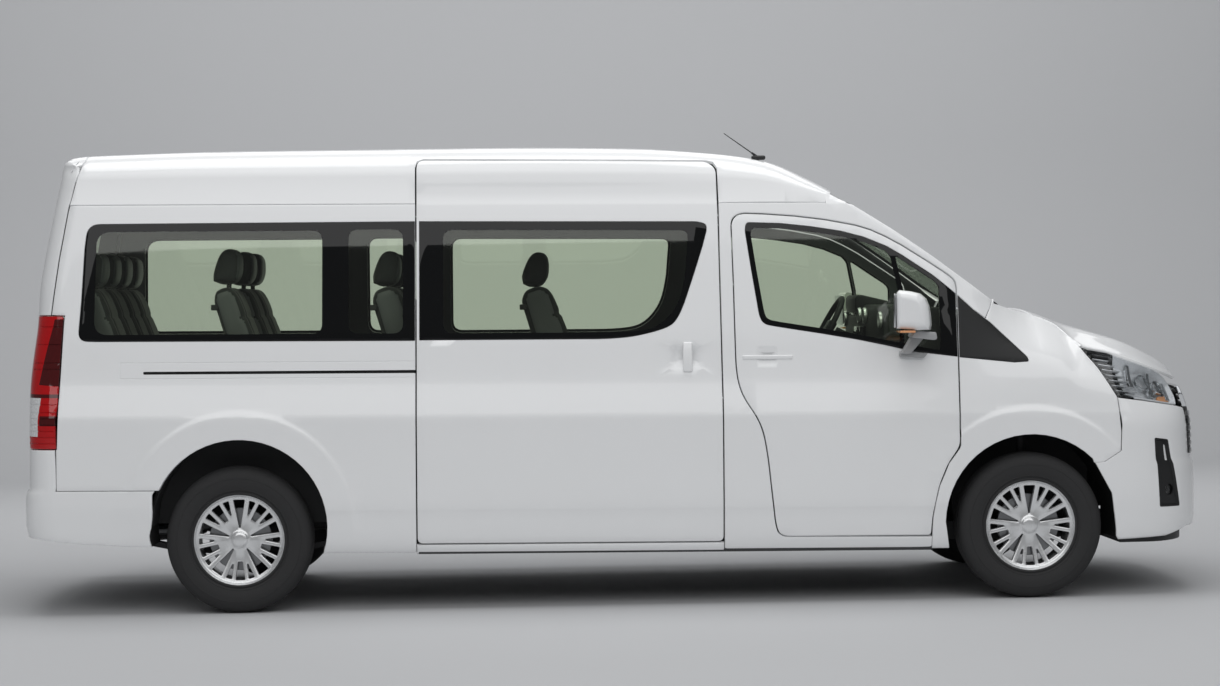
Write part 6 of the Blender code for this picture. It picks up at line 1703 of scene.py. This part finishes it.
class VAN_OT_seats(bpy.types.Operator):
    """Fill the cushions, backrests and headrests and set them on their frames"""
    bl_idname = "van.seats"
    bl_label = "Seats"

    def execute(self, context):
        half = PAD_WIDTH / 2 - 0.008
        cushion = stuffed("cushion", CUSHION_SIDE, half, 0.050, 0.22)
        sewn(cushion, [(1, 0.130, 0.007, 0.010, 0.9), (0, 0.150, 0.005, 0.010, 0.9)])
        back = stuffed("backrest", BACK_SIDE, half, 0.050, 0.10)
        sewn(back, [(1, 0.125, 0.007, 0.010, 0.5), (2, 0.330, 0.006, 0.011, 0.5),
                    (2, 0.560, 0.006, 0.011, 0.5)])
        rest = stuffed("headrest", HEADREST_SIDE, 0.112, 0.040, 0.20)
        # faces turned sideways, and the headrests' fronts, take the lighter grey: painted light on
        # the seats' lit sides
        cushion, back = [as_mesh(bm, name, lambda face: int(abs(face.normal.y) > 0.75))
                         for bm, name in ((cushion, "cushion"), (back, "backrest"))]
        rest = as_mesh(rest, "headrest", lambda face: int(face.normal.x > 0.65))
        lean = Matrix.Rotation(-SEAT_LEAN, 4, "Y")
        for node, back_x, width, thick, lift, middles in SEAT_ROWS:
            pads, frame_bm, guides = bmesh.new(), bmesh.new(), bmesh.new()
            narrow = Matrix.Diagonal((1.0, width / PAD_WIDTH, 1.0, 1.0))
            stout = Matrix.Diagonal((thick, width / PAD_WIDTH, 1.0, 1.0))
            for y in middles:
                foot = Matrix.Translation((back_x, y, SEAT_FOOT_Z))
                head = foot @ lean @ Matrix.Translation((0.0, 0.0, BACK_LENGTH))
                tipped = (head @ Matrix.Rotation(HEADREST_TIP, 4, "Y")
                          @ Matrix.Translation((0.0, 0.0, lift)))
                for mesh, place in ((cushion, foot @ narrow), (back, foot @ lean @ stout),
                                    (rest, tipped)):
                    pads_before = len(pads.verts)
                    pads.from_mesh(mesh)
                    pads.verts.ensure_lookup_table()
                    bmesh.ops.transform(pads, matrix=place, verts=pads.verts[pads_before:])
                for post in (-0.055, 0.055):
                    rod_between(frame_bm, head @ Vector((-0.008, post, -0.060)),
                                tipped @ Vector((0.004, post, 0.060)), 0.006, None, 10)
                block(frame_bm, (back_x + 0.004, y - width / 2 + 0.010, SEAT_FOOT_Z - 0.022),
                      (back_x + 0.440, y + width / 2 - 0.010, SEAT_FOOT_Z + 0.012), 0.008)
                guide = foot @ lean @ Vector((BELT_GUIDE[0] * thick, 0.0, BELT_GUIDE[1]))
                block(guides, (guide.x - 0.013, y - width / 2 + 0.020, guide.z - 0.014),
                      (guide.x + 0.022, y - width / 2 + 0.060, guide.z + 0.014), 0.004)
            ends = (max(-0.600, min(middles) - 0.120), min(0.600, max(middles) + 0.120))
            for rail_x in (back_x + 0.030, back_x + 0.350):
                block(frame_bm, (rail_x, ends[0], 0.830), (rail_x + 0.050, ends[1], 0.868), 0.008)
            for y in ends:
                leg = y + (0.04 if y < 0 else -0.04)
                across(frame_bm, [(back_x + 0.050, 0.562), (back_x + 0.060, 0.850),
                                  (back_x + 0.110, 0.850), (back_x + 0.150, 0.620),
                                  (back_x + 0.300, 0.620), (back_x + 0.330, 0.850),
                                  (back_x + 0.380, 0.850), (back_x + 0.370, 0.562)],
                       leg - 0.018, leg + 0.018, 0.006)
            item = piece(node + "_pads", pads, ["fabric", "vinyl"], node,
                         sharp=80.0)
            piece(node + "_frame", frame_bm, ["iron"])
            piece(node + "_belt_guides", guides, ["trim"])
        return {"FINISHED"}


class VAN_OT_dashboard(bpy.types.Operator):
    """Model the dashboard with its dial hood, vents and column, and the steering wheel"""
    bl_idname = "van.dashboard"
    bl_label = "Dashboard and steering wheel"

    def execute(self, context):
        bm = bmesh.new()
        across(bm, [(1.440, 0.730), (1.376, 1.000), (1.340, 1.200), (1.344, 1.395),
                    (1.362, 1.440), (1.395, 1.463), (1.500, 1.458), (1.676, 1.442),
                    (1.680, 1.392), (1.668, 1.345), (1.590, 1.045), (1.590, 0.730)],
               -0.756, 0.756, 0.012, 3)
        across(bm, [(1.352, 1.385), (1.336, 1.450), (1.337, 1.500), (1.350, 1.513),
                    (1.376, 1.514), (1.545, 1.474), (1.556, 1.385)], 0.274, 0.686, 0.012, 3)
        across(bm, [(1.300, 0.700), (1.290, 1.120), (1.330, 1.215), (1.400, 1.215),
                    (1.420, 0.700)], -0.125, 0.185, 0.012, 3)
        block(bm, (1.325, -0.700, 1.040), (1.360, -0.260, 1.180), 0.012)
        rod_between(bm, STEERING_WHEEL - COLUMN * 0.050, STEERING_WHEEL - COLUMN * 0.240,
                    0.034, 0.040, 24)
        for hand in (-1.0, 1.0):
            stalk = STEERING_WHEEL - COLUMN * 0.075
            rod_between(bm, stalk, stalk + Vector((-0.010, hand * 0.150, 0.012)), 0.006, 0.009)
        piece("dashboard_moulding", bm, ["trim"], "dashboard", sharp=38.0)
        vents, dark = bmesh.new(), bmesh.new()
        for y, z in ((-0.690, 1.385), (-0.100, 1.405), (0.110, 1.405), (0.705, 1.385)):
            ring = turned([(0.030, 0.000), (0.036, -0.010), (0.041, -0.008), (0.042, 0.004),
                           (0.033, 0.012)], 32)
            throat = turned([(0.0, 0.002), (0.032, 0.002), (0.032, 0.010), (0.0, 0.010)], 24,
                            closed=False)
            for part, target in ((ring, vents), (throat, dark)):
                turn = Matrix.Rotation(-math.pi / 2, 3, "Z")
                bmesh.ops.rotate(part, cent=(0, 0, 0), matrix=turn, verts=part.verts)
                bmesh.ops.translate(part, vec=(1.338, y, z), verts=part.verts)
                bmesh.ops.recalc_face_normals(part, faces=part.faces)
                add_mesh(target, part)
        block(dark, (1.314, -0.095, 1.235), (1.345, 0.155, 1.350), 0.004)
        across(dark, [(1.346, 1.405), (1.3385, 1.450), (1.3395, 1.495), (1.346, 1.500)],
               0.300, 0.660, 0.002)
        piece("dashboard_vents", vents, ["silver"])
        piece("dashboard_displays", dark, ["display"])
        self.steering_wheel()
        return {"FINISHED"}

    def steering_wheel(self):
        """A round rim with three spokes and a soft boss."""
        bm = bmesh.new()
        rim = bmesh.ops.create_circle(bm, segments=16, radius=0.0155)["verts"]
        bmesh.ops.rotate(bm, cent=(0, 0, 0), matrix=Matrix.Rotation(math.pi / 2, 3, "X"),
                         verts=rim)
        bmesh.ops.translate(bm, vec=(0.179, 0, 0), verts=rim)
        bmesh.ops.spin(bm, geom=rim + bm.edges[:], cent=(0, 0, 0), axis=(0, 0, 1), steps=56,
                       angle=2 * math.pi, use_merge=True)
        bmesh.ops.remove_doubles(bm, verts=bm.verts, dist=1e-5)
        bmesh.ops.recalc_face_normals(bm, faces=bm.faces)
        block(bm, (-0.062, -0.066, -0.036), (0.052, 0.066, 0.008), 0.014, 4)
        block(bm, (-0.024, -0.174, -0.018), (0.014, -0.050, -0.002), 0.006)
        block(bm, (-0.024, 0.050, -0.018), (0.014, 0.174, -0.002), 0.006)
        block(bm, (-0.174, -0.030, -0.018), (-0.050, 0.030, -0.002), 0.006)
        turn = Matrix.Rotation(COLUMN_TILT - math.pi / 2, 4, "Y")
        bmesh.ops.transform(bm, matrix=Matrix.Translation(STEERING_WHEEL) @ turn, verts=bm.verts)
        piece("steering_wheel_rim", bm, ["trim"], "steering_wheel", "hand_wheel",
              38.0)


# side view of a mirror's housing
MIRROR_SIDE = [(1.360, 1.347), (1.358, 1.420), (1.358, 1.500), (1.363, 1.521), (1.374, 1.531),
               (1.422, 1.526), (1.470, 1.514), (1.497, 1.490), (1.512, 1.456), (1.520, 1.410),
               (1.524, 1.362), (1.519, 1.340), (1.466, 1.338)]


MIRROR_SWEEP = 0.22      # how far back a mirror's housing sweeps for each metre outwards


def flat_at(y):
    """An upright plane along the van."""
    return lambda u, v: np.stack([u, y + 0 * u, v], axis=-1)


class VAN_OT_mirrors(bpy.types.Operator):
    """Model the door mirrors: white housing, mirror glass, turn signal and grey bracket"""
    bl_idname = "van.mirrors"
    bl_label = "Door mirrors"

    def execute(self, context):
        shape = spaced(vectors(MIRROR_SIDE), 0.02)
        bm = flat_panel(shape, spread(1.33, 1.54, 0.015), spread(1.35, 1.53, 0.015), roll=0.012,
                        falls=[(shape + shape[:1], 0.040)])
        thicken(bm, 0.148)
        bend(bm, flat_at(1.196), RIGHT)
        for vert in bm.verts:
            vert.co.x += MIRROR_SWEEP * (vert.co.y + 1.120)
        pair("mirror_housing", bm, ["white"], "mirror", "front_door", 40.0)
        bm = bmesh.new()
        block(bm, (-0.070, -0.0045, -0.082), (0.070, 0.0045, 0.082), 0.004,
              turn=Matrix.Rotation(math.pi / 2 - math.atan(MIRROR_SWEEP), 3, "Z"))
        bmesh.ops.translate(bm, vec=(1.3545, -1.120, 1.433), verts=bm.verts)
        pair("mirror_glass", bm, ["mirror"], None, "front_door")
        bm = bmesh.new()
        block(bm, (1.366, -1.190, 1.326), (1.440, -1.060, 1.337), 0.004)
        pair("mirror_signal", bm, ["amber"], None, "front_door")
        bm = bmesh.new()
        across(bm, [(1.434, 1.306), (1.442, 1.329), (1.470, 1.334), (1.550, 1.328),
                    (1.556, 1.296), (1.540, 1.290), (1.460, 1.300)], -1.120, -0.960, 0.006)
        across(bm, [(1.398, 1.222), (1.445, 1.222), (1.512, 1.302), (1.448, 1.306)],
               -1.000, -0.940, 0.006)
        across(bm, [(1.395, 1.206), (1.515, 1.200), (1.535, 1.225), (1.395, 1.236)],
               -0.965, -0.928, 0.006)
        pair("mirror_bracket", bm, ["grey"], None, "front_door")
        return {"FINISHED"}


def arch_liner(centre_x, radius, outer, inner, start, end):
    """A curved wall over a wheel, from one side of the wheel to the other."""
    bm = bmesh.new()
    ring = [bm.verts.new((centre_x + r * math.cos(start), y, ARCH_CENTRE_Z + r * math.sin(start)))
            for r, y in ((radius, outer), (radius, inner), (radius + 0.005, inner),
                         (radius + 0.005, outer))]
    edges = [bm.edges.new(two) for two in zip(ring, ring[1:] + ring[:1])]
    bmesh.ops.spin(bm, geom=ring + edges, cent=(centre_x, 0.0, ARCH_CENTRE_Z),
                   axis=(0, -1, 0), steps=36, angle=end - start)
    bmesh.ops.holes_fill(bm, edges=bm.edges[:], sides=0)
    bmesh.ops.recalc_face_normals(bm, faces=bm.faces)
    return bm


class VAN_OT_arches(bpy.types.Operator):
    """Line the wheel arches and lay the trays and the white sill under the doors"""
    bl_idname = "van.arches"
    bl_label = "Arch linings and sill"

    def execute(self, context):
        low, high = math.radians(-12.0), math.radians(192.0)
        for end, x, radius, outer, inner in (("front", FRONT_ARCH_X, 0.436, -0.920, -0.500),
                                             ("rear", REAR_ARCH_X, 0.431, -0.930, -0.655)):
            pair(end + "_arch_lining", arch_liner(x, radius, outer, inner, low, high), ["arch"])
        front = [(2.700, 0.830, 0.08), (2.840, 0.680, 0.10), (2.905, 0.400, 0.15)]
        wheel = [(2.300, 0.440), (2.484, 0.460, 0.02), (2.492, 0.864)]
        tray = edge_points([(x, -y, *turn) for x, y, *turn in wheel + front]
                           + [(2.925, 0.000, 0.30)] + front[::-1] + wheel[::-1])
        bm = flat_panel(tray, spread(-0.8, 0.8, 0.1), spread(2.3, 2.9, 0.1), roll=0.006)
        thicken(bm, 0.038)
        bmesh.ops.rotate(bm, cent=(0, 0, 0), matrix=Matrix.Rotation(math.pi, 3, "X"),
                         verts=bm.verts)
        bmesh.ops.translate(bm, vec=(0.0, 0.0, 0.284), verts=bm.verts)
        piece("front_tray", bm, ["black"])
        strip = spaced(vectors(oblong((-0.9575, 0.262), (0.5365, 0.3065))), 0.08)
        piece("door_sill", skin(strip, side, RIGHT, 0.020, side_rows(), WIDE, lift=0.003),
              ["white"])
        return {"FINISHED"}


# finishes of the CAD nodes that stay: chassis, engine and floor
CHASSIS = {
    "floor_pan": "underseal", "engine": "iron", "rear_axle": "iron", "front_subframe": "iron",
    "knuckle_right": "iron", "knuckle_left": "iron", "fuel_tank": "black", "exhaust": "steel",
    "spare_wheel": "rubber",
}


class VAN_OT_chassis(bpy.types.Operator):
    """Finish the chassis, the engine and the floor"""
    bl_idname = "van.chassis"
    bl_label = "Chassis finishes"

    def execute(self, context):
        for node, finish in CHASSIS.items():
            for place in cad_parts[node].material_slots:
                place.material = finish_of(finish)
        return {"FINISHED"}


FLOOR_HALF = (40.0, 15.0)
FLOOR_BACK_Y = 9.0
COVE_RADIUS = 3.0                     # turn between the floor and the backdrop
WALL_HEIGHT = 14.0
CAMERA_LENS = 76.40233                # millimetres, on a 36 mm sensor
CAMERA_PLACE = (-0.42215, -13.517, 1.47012)
CAMERA_TURN = [math.radians(angle) for angle in (1.86624, -0.8536, 0.91143)]
# area lamps: (name, place, turn in degrees, size, watts)
SOFTBOXES = [
    ("top_softbox", (0.0, -1.0, 7.5), 0, (9.0, 5.0), 330.0),
    ("side_softbox", (0.0, -11.1, 8.9), 62, (20.0, 9.0), 720.0),
    ("rear_softbox", (0.0, 6.0, 6.0), -50, (12.0, 4.0), 120.0),
    ("backdrop_softbox", (0.0, 4.5, 7.0), 65, (16.0, 3.0), 420.0),
]


class VAN_OT_stage(bpy.types.Operator):
    """Lay the floor and the backdrop, hang the lamps and set up the camera"""
    bl_idname = "van.stage"
    bl_label = "Stage"

    def execute(self, context):
        scene = context.scene
        bm = bmesh.new()
        floor = bmesh.ops.create_grid(bm, x_segments=1, y_segments=1, size=1.0)["verts"]
        bmesh.ops.scale(bm, vec=(FLOOR_HALF[0], FLOOR_HALF[1], 1.0), verts=floor)
        bmesh.ops.translate(bm, vec=(0.0, FLOOR_BACK_Y - FLOOR_HALF[1], 0.0), verts=floor)
        back = [edge for edge in bm.edges if all(v.co.y > 0 for v in edge.verts)]
        bmesh.ops.spin(bm, geom=back, cent=(0.0, FLOOR_BACK_Y, COVE_RADIUS), axis=(1, 0, 0),
                       steps=12, angle=math.pi / 2)
        top = [edge for edge in bm.edges
               if all(v.co.y > FLOOR_BACK_Y + COVE_RADIUS - 0.01 for v in edge.verts)]
        wall = bmesh.ops.extrude_edge_only(bm, edges=top)["geom"]
        bmesh.ops.translate(bm, vec=(0, 0, WALL_HEIGHT),
                            verts=[item for item in wall if isinstance(item, bmesh.types.BMVert)])
        mesh = mesh_of(bm, "studio_floor", tilt=False)
        mesh.materials.append(finish_of("floor"))
        backdrop = bpy.data.objects.new("studio_floor", mesh)
        scene.collection.objects.link(backdrop)
        for name, spot, turn, size, power in SOFTBOXES:
            lamp = bpy.data.lights.new(name, "AREA")
            lamp.shape = "RECTANGLE"
            lamp.size, lamp.size_y = size
            lamp.energy = power
            holder = bpy.data.objects.new(name, lamp)
            holder.location = spot
            holder.rotation_euler = (math.radians(turn), 0, 0)
            scene.collection.objects.link(holder)
        world = bpy.data.worlds.new("studio_air")
        scene.world = world
        world.use_nodes = True
        air = world.node_tree.nodes["Background"]
        air.inputs["Color"].default_value = (*linear("#F4F6F8"), 1)
        ray = add(world.node_tree, "ShaderNodeLightPath")
        dimmed = add(world.node_tree, "ShaderNodeMapRange",
                     {"Value": ray.outputs["Is Glossy Ray"], "To Min": 0.30, "To Max": 0.12})
        world.node_tree.links.new(dimmed.outputs["Result"], air.inputs["Strength"])
        camera = bpy.data.cameras.new("side_camera")
        camera.sensor_width = 36.0
        camera.lens = CAMERA_LENS
        holder = bpy.data.objects.new("side_camera", camera)
        yaw, pitch, roll = CAMERA_TURN
        holder.matrix_world = (Matrix.Translation(CAMERA_PLACE) @ Matrix.Rotation(-yaw, 4, "Z")
                               @ Matrix.Rotation(math.pi / 2 + pitch, 4, "X")
                               @ Matrix.Rotation(-roll, 4, "Z"))
        scene.collection.objects.link(holder)
        scene.camera = holder
        scene.view_settings.view_transform = "Standard"
        return {"FINISHED"}


class VAN_PT_pieces(bpy.types.Panel):
    """Lists the van's pieces, sizes and colours"""
    bl_idname = "VAN_PT_pieces"
    bl_label = "Passenger van"
    bl_space_type = "VIEW_3D"
    bl_region_type = "UI"
    bl_category = "Van"

    def draw(self, context):
        for group in (context.scene.van_sizes, context.scene.van_colours):
            for name in group.__annotations__:
                self.layout.prop(group, name)
        for operator in OPERATORS:
            self.layout.operator(operator.bl_idname)


OPERATORS = [VAN_OT_roof, VAN_OT_sides, VAN_OT_sliding_door, VAN_OT_front_frames,
             VAN_OT_front_doors, VAN_OT_fenders, VAN_OT_bonnet,
             VAN_OT_front_bumper, VAN_OT_headlamps, VAN_OT_windscreen, VAN_OT_tail,
             VAN_OT_wheels, VAN_OT_seats, VAN_OT_dashboard, VAN_OT_mirrors, VAN_OT_arches,
             VAN_OT_chassis, VAN_OT_stage]
CLASSES = [VanSizes, VanColours] + OPERATORS + [VAN_PT_pieces]


def register():
    for each in CLASSES:
        bpy.utils.register_class(each)
    bpy.types.Scene.van_sizes = PointerProperty(type=VanSizes)
    bpy.types.Scene.van_colours = PointerProperty(type=VanColours)


def unregister():
    del bpy.types.Scene.van_colours
    del bpy.types.Scene.van_sizes
    for each in reversed(CLASSES):
        bpy.utils.unregister_class(each)


def main():
    register()
    for operator in OPERATORS:
        group, name = operator.bl_idname.split(".")
        getattr(getattr(bpy.ops, group), name)()


if __name__ == "__main__":
    main()
